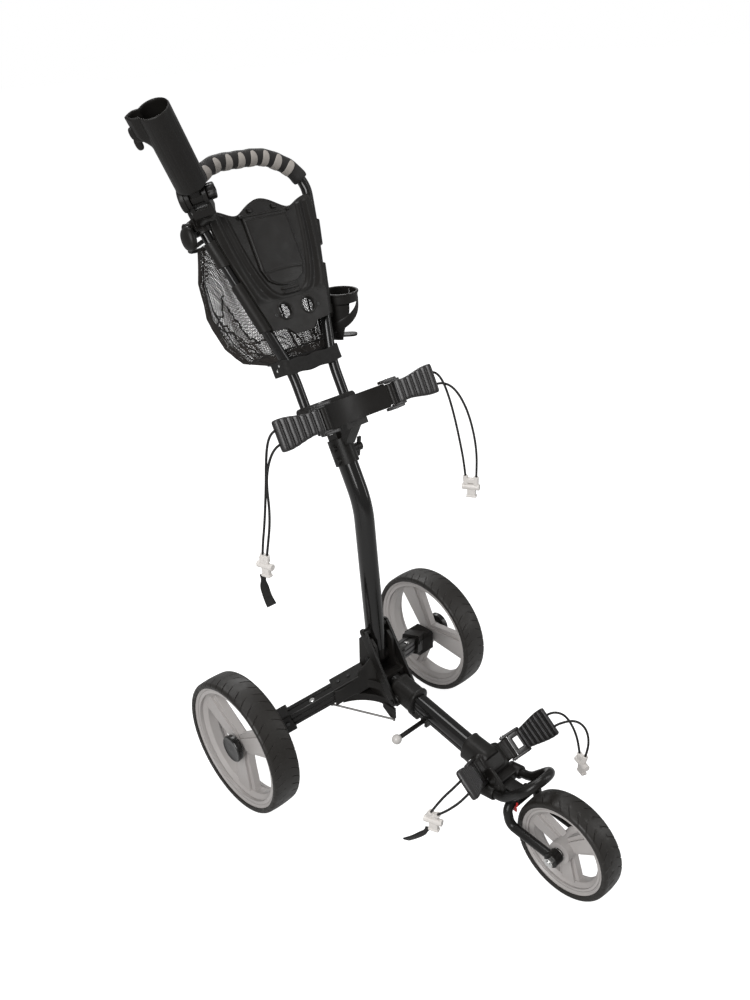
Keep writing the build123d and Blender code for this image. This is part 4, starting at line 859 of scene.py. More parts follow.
@dataclass(frozen=True)
class Chassis:
    """Rounded beam, sleeve and castings of the folding base."""

    beam_size: tuple = (30 * MM, 40 * MM)
    beam_length: float = 252 * MM
    beam_grooves: tuple = (-3.5 * MM, -10.5 * MM)
    casting_size: tuple = (42 * MM, 52 * MM)
    barrel: tuple = ((0, 0), (0, 6), (1, 7), (36.2, 7), (37.2, 6), (37.2, 0))
    socket: tuple = ((0, 0), (0, 11.4), (1.2, 12.5), (26, 12.5), (28, 11), (28, 0))
    clamp: tuple = ((0, 0), (0, 10.6), (1, 11.6), (41, 11.6), (42, 10.6), (42, 0))
    ear: tuple = ((0, 0), (0, 10.5), (1.5, 12), (50.3, 12), (51.8, 10.5), (51.8, 0))

    def beam(self) -> None:
        """Front beam: a rounded section carried along the beam, drawn in at two grooves on each side."""
        section = rounded(*self.beam_size, 2.8, 120)
        for y in self.beam_grooves:
            drawn = 1 - 0.11 * np.exp(-(((section[:, 1] - y) / (1.5 * MM)) ** 2))
            section = section * np.stack([drawn, np.ones_like(drawn)], -1)
        path = BEAM.at(0, 0, np.linspace(0, self.beam_length, 8))
        made = carried(path, section, BEAM.along)
        made.piece("front_beam_tube", TUBE_PAINT, "chassis", "black_tube", 50, stands_for="front_beam")

    def sleeve(self) -> None:
        """Sliding sleeve: a rounded section with rolled lips, the struts' ear and the lever's fork."""
        s = np.array([22, 22.6, 24, 27, 28, 70, 71, 72.5, 76.5, 78, 78.6]) * MM
        size = np.array([0.96, 1.0, 1.02, 1.02, 0.985, 0.985, 1.03, 1.06, 1.06, 1.03, 0.98])
        parts = [carried(BEAM.at(0, 0, s), rounded(*self.casting_size, 3.2, 64), BEAM.along, size)]
        foot = np.array([-25.9, 47.2, 201.8]) * MM
        parts.append(turned(np.array(self.ear) * MM, foot, GROUND.across, 40))
        for along, off, thick, reach in ((-29.4, 76, 7.6, 12), (-29.4, 110, 7.6, 3.2), (-22.4, 93, 1.5, 20)):
            half = (9 * MM, thick * MM, reach * MM)
            parts.append(pillow(BEAM.moved(0, along * MM, off * MM), half, 8.0))
        made = joined(parts)
        made.piece("sleeve_casting", MOULDING, "sleeve", "black_plastic", stands_for="slide_sleeve")

    def bracket(self) -> None:
        """Front casting: a swollen sleeve, the cradle's block and barrels, the clamp and a side plate."""
        s = np.array([208, 208.6, 210, 216, 236, 250, 258, 262, 263]) * MM
        size = np.array([0.95, 1.0, 1.03, 1.0, 1.03, 1.07, 1.06, 1.0, 0.9])
        parts = [carried(BEAM.at(0, 0, s), rounded(*self.casting_size, 3.0, 64), BEAM.along, size)]
        parts.append(pillow(CRADLE.moved(0, 0, -16 * MM), (34 * MM, 25 * MM, 17 * MM), 5.0, 40))
        parts.append(pillow(CRADLE.moved(0, 2 * MM, -2 * MM), (24 * MM, 20 * MM, 5 * MM), 4.0, 32))
        barrel, socket, clamp = (np.array(q) * MM for q in (self.barrel, self.socket, self.clamp))
        run = unit(np.array([0, -28, 4.1]))
        for side in (-1, 1):
            parts.append(turned(barrel, CRADLE.at(side * 43 * MM, -18.6 * MM, 0), CRADLE.along, 28))
            web = CRADLE.moved(side * 35 * MM, 0, -2 * MM)
            parts.append(pillow(web, (9 * MM, 18.4 * MM, 5 * MM), 6.0))
            parts.append(turned(socket, np.array([side * 36, -190, 145.1]) * MM, run, 36))
        parts.append(pillow(GROUND.moved(0, -0.199, 0.1485), (36 * MM, 15 * MM, 11 * MM), 6.0, 32))
        parts.append(turned(clamp, np.array([-21, -246, 141]) * MM, GROUND.across, 36))
        parts.append(pillow(GROUND.moved(0, -0.224, 0.142), (16 * MM, 30 * MM, 9 * MM), 6.0, 28))
        plate = Axes(np.array([-30.5, -211, 170]) * MM, CRADLE.along, CRADLE.off, CRADLE.across)
        parts.append(pillow(plate, (25 * MM, 15 * MM, 4 * MM), 4.0, 36))
        for shift in (-11, 3):
            pad = plate.moved(shift * MM, 0, -4 * MM)
            parts.append(pillow(pad, (5.5 * MM, 9 * MM, 2 * MM), 4.0))
        made = joined(parts)
        made.piece("bracket_casting", MOULDING, "chassis", "black_plastic", stands_for="front_bracket")

    def skirt(self, side: int) -> Shell:
        """Curved plate from a cheek out to its leg: upright lines along a plan curve, hollow along its top.

        Top height = leg top + (cheek top - leg top) * (1 - u) ** 2.6, with u the share of the way out, and
        the foot follows the leg's underside in a low arch. The inner wall lies 5 mm behind the outer one.

        Args:
            side: -1 for left, 1 for right.

        Returns:
            The plate.
        """
        u = np.linspace(0, 1, 48)
        knots = np.array([(25.2, 95), (29, 104), (41, 114), (60, 122), (96, 140)], float)
        share = np.array([0, 0.16, 0.38, 0.6, 1.0])
        x, y = (np.polyval(np.polyfit(share, knots[:, k], 4), u) for k in range(2))
        leg = 214 - 0.392 * np.hypot(x - 50, y - 139) * np.sign(x - 50)
        top = leg + 19 + 48 * (1 - u) ** 2.6
        low = leg - 17 + 10 * np.sin(np.pi * u) - 14 * (1 - u) ** 2
        tangent = unit(np.stack([np.gradient(x), np.gradient(y)], -1))
        inward = np.stack([-tangent[:, 1], tangent[:, 0]], -1)
        section = rounded(1.0, 1.0, 6.0, 28)
        off = section[None, :, 0] * 5.0 + 2.0
        rise = section[None, :, 1] + 0.5
        px = x[:, None] + inward[:, :1] * off
        py = y[:, None] + inward[:, 1:] * off
        pz = low[:, None] + (top - low)[:, None] * rise
        return capped(np.stack([side * px, py, pz], -1) * MM)

    def build(self) -> None:
        """Builds the beam, the sleeve, the bracket and the two skirts."""
        self.beam()
        self.sleeve()
        self.bracket()
        skirts = joined([self.skirt(-1), self.skirt(1)])
        skirts.piece("housing_skirts", MOULDING, "chassis", "black_plastic")


# Elastic cords


@dataclass(frozen=True)
class ElasticCord:
    """Two strands from an arm's tip to a toggle, with a strap below on some."""

    name: str
    body: str
    strands: tuple
    lengths: tuple
    strap: tuple = ()
    radius: float = 2.2 * MM
    grip: float = 8 * MM
    barrel: tuple = ((-9, 0), (-9, 4.8), (-8.4, 5.3), (7.8, 5.3), (8.4, 4.8), (8.4, 2.3), (2, 2.3), (2, 0))
    bar: tuple = ((0, 0), (0, 5.6), (0.7, 6.3), (33.3, 6.3), (34, 5.6), (34, 0))

    def strand(self, number: int) -> bpy.types.Object:
        """One strand as a NURBS curve whose control points are the route's points.

        Args:
            number: which strand, 0 or 1.

        Returns:
            The curve's object.
        """
        points = np.array(self.strands[number]) * MM
        curve = bpy.data.curves.new(f"{self.name}_strand_{number + 1}", "CURVE")
        curve.dimensions = "3D"
        curve.bevel_depth = self.radius
        curve.bevel_resolution = 3
        curve.use_fill_caps = True
        spline = curve.splines.new("NURBS")
        spline.points.add(len(points) - 1)
        spline.points.foreach_set("co", np.column_stack([points, np.ones(len(points))]).ravel())
        spline.order_u = 3
        spline.use_endpoint_u = True
        spline.resolution_u = 10
        made = add_piece(curve, CORD_BRAID, self.body)
        log.info("%s: %d points on %s", made.name, len(points), self.body)
        return made

    def axes(self) -> Axes:
        """Axes at the middle of the toggle's top.

        Returns:
            Axes with across from strand to strand, along the toggle's depth and off upward.
        """
        a, b = (np.array(s[-1]) * MM for s in self.strands)
        across = unit(np.array([b[0] - a[0], b[1] - a[1], 0]))
        up = np.array([0, 0, 1.0])
        top = (a + b) / 2
        top[2] = max(a[2], b[2]) + self.grip
        return Axes(top, across, np.cross(up, across), up)

    def toggle(self) -> bpy.types.Object:
        """Clasp: a barrel on each strand's end, a broad bar with a waist, and the small clip below it.

        Returns:
            The clasp.
        """
        t = self.axes()
        parts = []
        for strand in self.strands:
            end = np.array(strand[-1]) * MM
            run = unit(np.array(strand[-2]) - np.array(strand[-1]))
            parts.append(turned(np.array(self.barrel) * MM, end, run, 20))
        bridge = t.moved(0, 0, -9 * MM)
        parts.append(pillow(bridge, (10 * MM, 4 * MM, 5 * MM), 8.0))
        parts.append(turned(np.array(self.bar) * MM, t.at(-17 * MM, 0, -22 * MM), t.across, 28))
        clip = t.moved(1 * MM, 0, -33.5 * MM)
        parts.append(pillow(clip, (8 * MM, 4.6 * MM, 8.5 * MM), 9.0, 28))
        parts.append(pillow(t.moved(1 * MM, 0, -41 * MM), (10 * MM, 5.4 * MM, 2.2 * MM), 8.0))
        return joined(parts).piece(f"{self.name}_toggle", PALE_CLASP, self.body, "ball")

    def ribbon(self) -> bpy.types.Object:
        """Strap below the toggle: a flat section carried along a smooth line, pinched near its top.

        Returns:
            The strap.
        """
        knots = np.array(self.strap) * MM
        share = np.linspace(0, 1, len(knots))
        fine = np.linspace(0, 1, 40)
        path = np.stack([np.polyval(np.polyfit(share, knots[:, k], 3), fine) for k in range(3)], -1)
        wide = 1 - 0.42 * np.exp(-(((fine - 0.16) / 0.16) ** 2)) + 0.12 * ease((fine - 0.6) / 0.4)
        across = unit(np.array([0.73, -0.68, 0]))
        normal = np.cross(np.gradient(path, axis=0), across)
        shell = carried(path, rounded(16.4 * MM, 3.4 * MM, 4.0), normal, wide)
        return shell.piece(f"{self.name}_strap", TAPE, self.body, "cord")

    def build(self) -> None:
        clasp = self.toggle()
        pieces = [clasp] + ([self.ribbon()] if self.strap else [])
        strands = [self.strand(k) for k in range(2)]
        for piece in strands + pieces:
            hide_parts(self.name)


class Cords:
    """The four elastic cords that tie the bag, one on each arm."""

    def build(self) -> None:
        """Builds each cord along its route, given in millimetres."""
        ElasticCord(
            "cord_upper_left",
            "arm_upper_left",
            (
                [(-168.9, 124.5, 796.7), (-181.9, 124.1, 796.9), (-192.5, 125.2, 788.5), (-197, 129, 770),
                 (-196, 138, 738), (-194, 147, 702), (-194, 156, 660), (-196, 164, 615), (-199, 172, 575),
                 (-200, 176, 548)],
                [(-168.9, 114.3, 775), (-181.9, 113.9, 775.2), (-192.8, 117, 767), (-198, 124.5, 749),
                 (-199, 135, 720), (-197, 142, 690), (-194, 146, 656), (-193, 152, 620), (-195, 160, 583),
                 (-198, 167, 548)],
            ),
            (0.272, 0.252),
            ((-201, 178, 513), (-201, 180, 492), (-200, 176, 471), (-198, 168, 452)),
        ).build()
        ElasticCord(
            "cord_upper_right",
            "arm_upper_right",
            (
                [(168.9, 124.5, 796.7), (181.9, 124.1, 796.9), (192, 117.4, 790), (197.5, 108, 771.5),
                 (200, 96, 740), (203, 86, 700), (205.5, 77, 656), (208, 71, 618), (209, 68, 585)],
                [(168.9, 114.3, 775), (181.9, 113.9, 775.2), (193.4, 106, 775.6), (203.5, 94.5, 768.5),
                 (210.5, 81, 751), (216, 67, 721), (219, 56, 682), (220, 50, 644), (219, 49, 611),
                 (218, 50, 584)],
            ),
            (0.239, 0.2385),
        ).build()
        ElasticCord(
            "cord_lower_left",
            "arm_lower_left",
            (
                [(-106, -205.5, 225.2), (-116.3, -210.8, 231.1), (-129.2, -212.1, 230.6),
                 (-140.4, -208.8, 223.6), (-146.7, -199.8, 209.2), (-150.5, -188, 188), (-151, -177, 168),
                 (-149, -166, 149)],
                [(-106, -223.3, 209.1), (-116.3, -228.7, 215.1), (-129.2, -230, 214.6),
                 (-140, -226.2, 207.4), (-144.9, -215.9, 193.9), (-147, -203, 178), (-147, -190, 163.5),
                 (-145, -177, 149)],
            ),
            (0.126, 0.1155),
            ((-150, -163, 114.5), (-154, -152, 97), (-160, -138, 82), (-167, -122, 69)),
        ).build()
        ElasticCord(
            "cord_lower_right",
            "arm_lower_right",
            (
                [(106, -205.5, 225.2), (116.3, -210.8, 231.1), (126.5, -221, 235.5), (136, -234, 230.5),
                 (141, -246, 214), (144, -256, 192), (145, -262, 168), (145, -266, 145)],
                [(106, -223.3, 209.1), (116.3, -228.7, 215.1), (125.5, -239.5, 223), (134, -253.5, 230),
                 (139, -268, 229), (142, -279, 217), (143, -284, 196), (142, -283, 172), (140, -278.5, 150)],
            ),
            (0.137, 0.1455),
        ).build()


# Handle


@dataclass(frozen=True)
class Grip:
    """Foam grip on the handle's arch, with pale inlaid bands under the fingers."""

    corners: tuple = ((119.0, 590), (106, 614), (56, 643), (-56, 643), (-106, 614), (-119.0, 590))
    bends: tuple = (64, 96, 96, 64)
    radius: float = 15 * MM
    bands: int = 9
    band_pitch: float = 26.5 * MM
    band_w: float = 16 * MM
    band_reach: float = 112.0
    band_shift: float = 12.0
    proud: float = 0.5 * MM
    sunk: float = 0.6 * MM
    nose: float = 4 * MM
    places: int = 220

    def path(self, count: int) -> Array:
        """The arch's middle line at even places."""
        corners = np.array([HANDLE.at(x * MM, t * MM, 0) for x, t in self.corners])
        return even(arc_course(corners, [b * MM for b in self.bends], 16), count)

    def build(self) -> None:
        """Builds the foam and its bands.

        The foam is a circle carried along the arch. Its radius falls in a quarter round at both ends and
        swells a little between the bands.
        """
        path = self.path(self.places)
        run = np.linspace(-1, 1, self.places)
        length = np.linalg.norm(np.diff(path, axis=0), axis=1).sum()
        from_end = (1 - np.abs(run)) * length / 2
        lift = np.clip(1 - from_end / self.nose, 0, 1)
        swell = 0.02 * np.cos(2 * np.pi * run * length / 2 / self.band_pitch)
        drawn = 1 - self.nose * 0.5 * (1 - np.sqrt(1 - lift**2)) / self.radius
        size = drawn * (0.98 + swell * (lift == 0))
        shell = carried(path, circle(self.radius, 40), HANDLE.off, size)
        foam = shell.piece("grip_sleeve", GRIP_FOAM, "handle", "grip", 60, stands_for="grip")
        self.inlays(path, length)

    def inlays(self, path: Array, length: float) -> None:
        """Bands let into the foam: r = radius - sunk + (proud + sunk) * sqrt(fall), over a leaf of the arch.

        The leaf narrows with the angle round the foam, and fall goes to 0 at its edges.

        Args:
            path: the arch's middle line.
            length: the arch's length.
        """
        ahead = unit(np.gradient(path, axis=0))
        place = np.linspace(-length / 2, length / 2, len(path))
        across = np.linspace(-1, 1, 11)[:, None]
        around = np.linspace(-1, 1, 49)[None]
        narrow = np.sqrt(np.clip(1 - np.abs(around) ** 3, 0, 1))
        fall = (1 - np.abs(across) ** 4) * (1 - np.abs(around) ** 12)
        r = self.radius - self.sunk + (self.proud + self.sunk) * np.sqrt(fall)
        bands = []
        for k in range(self.bands):
            middle = (k - (self.bands - 1) / 2) * self.band_pitch
            s = middle + across * narrow * self.band_w / 2
            centre = np.stack([np.interp(s, place, path[:, i]) for i in range(3)], -1)
            axis = unit(np.stack([np.interp(s, place, ahead[:, i]) for i in range(3)], -1))
            off = np.broadcast_to(HANDLE.off, axis.shape)
            inward = np.cross(axis, off)
            inward = inward * np.sign((inward * -HANDLE.along).sum(-1, keepdims=True))
            angle = np.broadcast_to(np.radians(around * self.band_reach + self.band_shift), s.shape)
            spoke = np.cos(angle)[..., None] * inward + np.sin(angle)[..., None] * off
            under = grid(centre + (self.radius - 2 * self.sunk) * spoke)
            bands.append(grid(centre + r[..., None] * spoke) + Shell(under.points, under.quads[:, ::-1]))
        joined(bands).piece("grip_inlays", INLAY_GREY, "handle", "rim", 60)


@dataclass(frozen=True)
class StorageNet:
    """Knitted net behind the console: a lofted shell of crossing strands, gathered at its foot.

    A station is the place up the handle, the half width, and the near and far face, in millimetres. A fold
    is its start and end round the bag, its start and end up the bag, and its bend.
    """

    stations: tuple = (
        (288.5, 60, -12, -50),
        (312, 84, -14, -112),
        (350, 99, -13, -140),
        (410, 107, -12, -150),
        (470, 108, -12, -134),
        (520.5, 105, -12, -90),
    )
    fold_lines: tuple = (
        (2.75, 3.3, 0.66, 0.46, 0.08), (3.2, 2.62, 0.52, 0.12, -0.1), (2.72, 2.35, 0.6, 0.3, 0.06),
        (3.45, 3.85, 0.62, 0.2, 0.1), (4.2, 4.75, 0.7, 0.35, -0.08), (5.2, 5.6, 0.55, 0.15, 0.08),
        (0.15, 0.45, 0.64, 0.3, 0.07), (-0.1, 0.3, 0.4, 0.1, -0.06),
    )
    columns: int = 132
    rows: int = 96
    pleats: int = 14
    yarn: float = 0.6 * MM
    band_box: tuple = (63.4 * MM, 12.4 * MM, -36 * MM)
    hem_box: tuple = (109 * MM, -13.4 * MM, -86 * MM)
    rivet: tuple = ((-1, 0), (-1, 2.4), (0.6, 2.4), (1.1, 1.6), (1.2, 0))

    def surface(self, turn: Array, rise: Array) -> Array:
        """Place on the net: a superellipse round the bag whose half sizes follow the stations up the handle.

        Pleats fade out upward from the foot, and shallow dents of two slanted waves lie over the whole bag.

        Args:
            turn: angle round the bag.
            rise: share of the way from the foot to the rim.

        Returns:
            Points on the net.
        """
        table = np.array(self.stations, float) * MM
        share = np.linspace(0, 1, len(table))
        t, half, near, far = (np.interp(rise, share, table[:, k]) for k in range(4))
        c, s = np.cos(turn), np.sin(turn)
        pleat = 1 - (0.04 * np.cos(self.pleats * turn + 2 * rise) + 0.04) * np.clip(1 - rise / 0.6, 0, 1)
        dent = 1 - 0.035 * np.sin(3 * turn + 4 * rise) ** 2 - 0.02 * np.sin(7 * turn - 6 * rise) ** 2
        bulge = pleat * dent
        x = (half - 1 * MM) * np.sign(c) * np.abs(c) ** 0.55 * bulge
        mid, deep = (near + far) / 2, (near - far) / 2 - 1 * MM
        n = mid + deep * np.sign(s) * np.abs(s) ** 0.62 * np.where(s < 0, bulge, 1)
        return HANDLE.at(x, t, n)

    def strands(self) -> Shell:
        """Crossing strands: each point of a staggered lattice is tied to the two next ones in the row above.

        Each strand is a three-sided bar, start or end + yarn * (cos(120 k) * side + sin(120 k) * out).

        Returns:
            The strands' shell.
        """
        row = np.arange(self.rows)[:, None]
        column = np.arange(self.columns)[None]
        turn = 2 * np.pi * (column + 0.5 * (row % 2)) / self.columns
        points = self.surface(turn, np.broadcast_to(row / (self.rows - 1), turn.shape))
        start = points[:-1]
        shift = np.where(row[:-1] % 2 == 0, 0, 1)
        near = np.where(shift[..., None] == 0, points[1:], np.roll(points, -1, 1)[1:])
        far = np.where(shift[..., None] == 0, np.roll(points, 1, 1)[1:], points[1:])
        a = np.concatenate([start.reshape(-1, 3), start.reshape(-1, 3)])
        b = np.concatenate([near.reshape(-1, 3), far.reshape(-1, 3)])
        out = unit(a - HANDLE.at(0, 0.4, -0.07))
        side = unit(np.cross(b - a, out))
        angle = np.arange(3) * 2 * np.pi / 3
        c, s = np.cos(angle)[None, :, None], np.sin(angle)[None, :, None]
        ring = self.yarn * (c * side[:, None] + s * out[:, None])
        points = np.concatenate([a[:, None] + ring, b[:, None] + ring], axis=1).reshape(-1, 3)
        first = np.arange(len(a))[:, None] * 6
        k = np.arange(3)
        nxt = (k + 1) % 3
        quads = np.stack([first + k, first + nxt, first + nxt + 3, first + k + 3], -1).reshape(-1, 4)
        return Shell(points, quads)

    def seam(self, turn: Array, rise: Array, width: float, thick: float, closed: bool = False) -> Shell:
        """Flat tape carried along a line on the net.

        Args:
            turn: the line's angles round the bag.
            rise: its shares of the height.
            width: the tape's width.
            thick: its thickness.
            closed: joins the line's end to its start.

        Returns:
            The tape.
        """
        path = self.surface(turn, rise)
        out = path - HANDLE.at(0, 0.39, -0.06)
        return carried(path, rounded(width, thick, 3.0, 14), out, closed=closed)

    def folds(self) -> list:
        """Gathered folds: narrow ropes of net along slanted, slightly wavy lines over the sides and the back.

        Returns:
            One shell for each fold.
        """
        share = np.linspace(0, 1, 40)
        lines = []
        for start, end, low, high, bend in self.fold_lines:
            wave = bend * np.sin(np.pi * share) + 0.03 * np.sin(9 * np.pi * share)
            lean = 0.015 * np.sin(13 * np.pi * share)
            turn = start + (end - start) * share + wave
            lines.append(self.seam(turn, low + (high - low) * share + lean, 3.2 * MM, 2 * MM))
        return lines

    def build(self) -> None:
        """Builds the strands, the seam tapes and folds, the hem round the rim and the band at the foot."""
        self.strands().piece("net_strands", NET_YARN, "handle", "net", stands_for="net_bag")
        rise = np.linspace(0, 1, 60)
        parts = [
            self.seam(np.full(60, turn), rise, 4 * MM, 1.6 * MM)
            for turn in (0.0, math.pi, -0.30 * math.pi, -0.70 * math.pi)
        ]
        around = np.linspace(0, 2 * np.pi, 160, endpoint=False)
        for level, width in ((0.02, 8 * MM), (0.16, 3 * MM)):
            parts.append(self.seam(around, np.full(160, level), width, 2 * MM, closed=True))
        joined(parts + self.folds()).piece("net_seams", TAPE, "handle", "net")
        self.hem()
        self.band()

    def band(self) -> None:
        """Webbing band round both tubes: a flat section carried round a rounded rectangle.

        The front run dips between the tubes by 3.2 * (1 - (x / 46) ** 2) mm, and the back lies 3 mm higher.
        """
        flat = np.array([(x, n, 0) for x, n in self.corners(*self.band_box)])
        course = even(arc_course(flat, [10 * MM] * 4, 10)[:-1], 200, closed=True)
        x, n = course[:, 0], course[:, 1]
        front = ease((n - 6 * MM) / (6 * MM))
        n = n - front * 3.2 * MM * np.clip(1 - (x / (46 * MM)) ** 2, 0, 1)
        ripple = 0.9 * MM * np.sin(x / (7 * MM)) * front
        t = 0.2755 + 3 * MM * (1 - front) + ripple - 2.2 * MM * front * np.cos(x / (40 * MM))
        path = HANDLE.at(x, t, n)
        made = carried(path, rounded(2.8 * MM, 26 * MM, 5.0, 28), HANDLE.along, closed=True)
        made.piece("net_band", TAPE, "handle", "net", stands_for="net_tray")
        head = np.array(self.rivet) * MM
        rivets = [
            turned(head, HANDLE.at(-64.9 * MM, t, n * MM), -HANDLE.across, 16)
            for t, n in ((0.2835, -4), (0.276, -14))
        ]
        joined(rivets).piece("net_band_rivets", STEEL, "handle", "steel")

    def hem(self) -> None:
        """Hem round the wire rim: a tube with small puckers carried round a rounded rectangle."""
        corners = np.array([HANDLE.at(x, 0.5245, n) for x, n in self.corners(*self.hem_box)])
        course = arc_course(corners, [14 * MM] * 4, 12)
        path = even(course[:-1], 260, closed=True)
        pucker = 1 + 0.05 * np.sin(np.arange(260) * 2 * np.pi / 4)
        made = carried(path, circle(3.6 * MM, 16), HANDLE.along, pucker, closed=True)
        made.piece("net_hem", TAPE, "handle", "net_wire", 60, stands_for="net_rim")

    def corners(self, half: float, near: float, far: float) -> list:
        """Corners of a rectangle round the handle, from the middle of its front and back to it."""
        return [(0, near), (half, near), (half, far), (-half, far), (-half, near), (0, near)]


@dataclass(frozen=True)
class Console:
    """Sculpted face of the scorecard console, its lid, hole edges and screws, in millimetres."""

    face_off: float = 17.0
    half: float = 109.0
    foot: float = 389.0
    band_half: float = 72.0
    band_low: float = 398.0
    band_top: float = 550.0
    band_power: float = 3.4
    lid_low: float = 413.5
    lid_top: float = 535.0
    lid_crease: float = 441.0
    hole_x: float = 26.0
    screws: tuple = ((-67.5, 446), (-57, 414), (67.5, 446), (57, 414), (-47, 366), (47, 366))
    screw_head: tuple = ((-0.6, 0), (-0.6, 1), (0.5, 1), (0.8, 0.8), (0.2, 0.45), (0.2, 0))
    hole_edge: tuple = ((0, 13.0), (1.2, 13.4), (1.8, 14.8), (1.2, 16.2), (0, 16.8), (-0.4, 14.6), (0, 13.0))

    def from_band(self, x: Array, t: Array) -> Array:
        """Distance outward from the U round the lid, (|x| / half) ** power = (t - low) / (top - low).

        It is the formula's value over its slope, which is near the true distance close to the curve.

        Args:
            x: places across the console.
            t: places up the handle.

        Returns:
            The distances.
        """
        half, rise, power = self.band_half, self.band_top - self.band_low, self.band_power
        value = (np.abs(x) / half) ** power - (t - self.band_low) / rise
        slope = np.hypot(power / half * (np.abs(x) / half) ** (power - 1), 1 / rise)
        return value / slope

    def face(self) -> Shell:
        """Front cover: a height field over the console, with three round bands that flow round the lid.

        Each band rises by tall * (1 - ((d - middle) / half) ** 2) ** 2, with d the distance from the U. The
        edge of the cover falls to the console, and its back lies inside the console's wall.

        Returns:
            The cover.
        """
        x = np.linspace(-self.half, self.half, 150)[:, None]
        side = np.interp(np.abs(x), [71, 90, 107, 112], [372, 440, 505, 556])
        low = np.maximum(self.foot, side + 2)
        stops, tops = [0, 15, 30, 44, 58, 71, 84, 112], [565, 562, 555, 548, 543, 547, 552, 553]
        high = np.interp(np.abs(x), stops, tops)
        v = np.linspace(0, 1, 130)[None]
        t = low + (high - low) * v
        d = self.from_band(x, t)
        height = 0.0
        for tall, middle, half in ((3.4, 7.5, 6.5), (2.6, 19, 5.5), (1.8, 29, 4.5)):
            height = height + tall * np.clip(1 - ((d - middle) / half) ** 2, 0, 1) ** 2
        edge = ease(np.minimum(t - low, high - t) / 5) * ease((self.half - np.abs(x)) / 5)
        height = height * ease((t - self.foot) / 12) * edge + 0.1
        border = (v == 0) | (v == 1) | (np.abs(x) > self.half - 0.1)
        return self.panel(x, t, np.where(border, 16, self.face_off + height), 16)

    def panel(self, x: Array, t: Array, off: Array, behind: float) -> Shell:
        """Height field over the handle's plane with a flat back.

        Args:
            x: places across the handle.
            t: places up the handle.
            off: heights of the front off the handle's plane.
            behind: height of the back.

        Returns:
            The front and the back.
        """
        front = HANDLE.at(x * MM, t * MM, off * MM)
        back = HANDLE.at(x * MM, t * MM, np.full(off.shape, behind * MM))
        return grid(front) + grid(back[:, ::-1])

    def lid(self) -> Shell:
        """Raised panel of the lid: a height field with soft edges and a cross crease above a sloped foot.

        Returns:
            The panel.
        """
        t = np.linspace(self.lid_low, self.lid_top, 110)[:, None]
        arc = 39 * np.sqrt(np.clip((t - 412) / 14, 0, 1))
        half = np.where(t < 426, arc, np.interp(t, [426, 446, 540], [39, 47, 47])) - 1.2
        u = np.linspace(-1, 1, 80)[None]
        x = u * half
        inside = np.minimum(t - self.lid_low, self.lid_top - t)
        rim = ease(np.minimum((1 - np.abs(u)) * half, inside) / 3.5)
        crease = np.exp(-(((t - self.lid_crease + 0.0012 * x**2) / 1.6) ** 2))
        slope = np.clip((self.lid_crease - t) / 28, 0, 1)
        dome = 1.6 * (1 - (x / 47) ** 2)
        height = rim * (1.2 + dome * (1 - slope) - 0.8 * slope - 1.0 * crease)
        border = (np.abs(u) == 1) | (t == t.min()) | (t == t.max())
        return self.panel(x, t, np.where(border, 19.5, 20.45 + height), 19.5)

    def screw(self, x: float, t: float, radius: float) -> Shell:
        """Screw in the face: a small turned head with a dished middle."""
        profile = np.array(self.screw_head) * np.array([1, radius]) * MM
        return turned(profile, HANDLE.at(x * MM, t * MM, self.face_off * MM), HANDLE.off, 20)

    def bezel(self, x: float) -> Shell:
        """Rolled edge round one of the two holes."""
        middle = HANDLE.at(x * MM, 0.370, self.face_off * MM)
        return turned(np.array(self.hole_edge) * MM, middle, HANDLE.off, 48)

    def build(self) -> None:
        """Builds the cover with its hole edges and latch bars, the lid panel, the screws and the hooks."""
        bars = [HANDLE.moved(0, t, (self.face_off + 1.6) * MM) for t in (0.399, 0.4065)]
        slots = [pillow(at, (17 * MM, 2 * MM, 2.6 * MM), 8.0) for at in bars]
        cover = joined([self.face(), self.bezel(self.hole_x), self.bezel(-self.hole_x), *slots])
        cover.piece("console_face", MOULDING, "handle", "black_plastic", 60)
        self.lid().piece("lid_panel", MOULDING, "lid", "black_plastic", 60)
        screws = [self.screw(x, t, 3.0) for x, t in self.screws]
        joined(screws).piece("console_screws", DARK_STEEL, "handle", "screws")
        spots = [HANDLE.moved(x * MM, 0.549, (self.face_off + 1.4) * MM) for x in (-26, 26)]
        hooks = [pillow(at, (5 * MM, 4 * MM, 3 * MM), 5.0) for at in spots]
        joined(hooks).piece("console_hooks", MOULDING, "handle", "black_plastic")


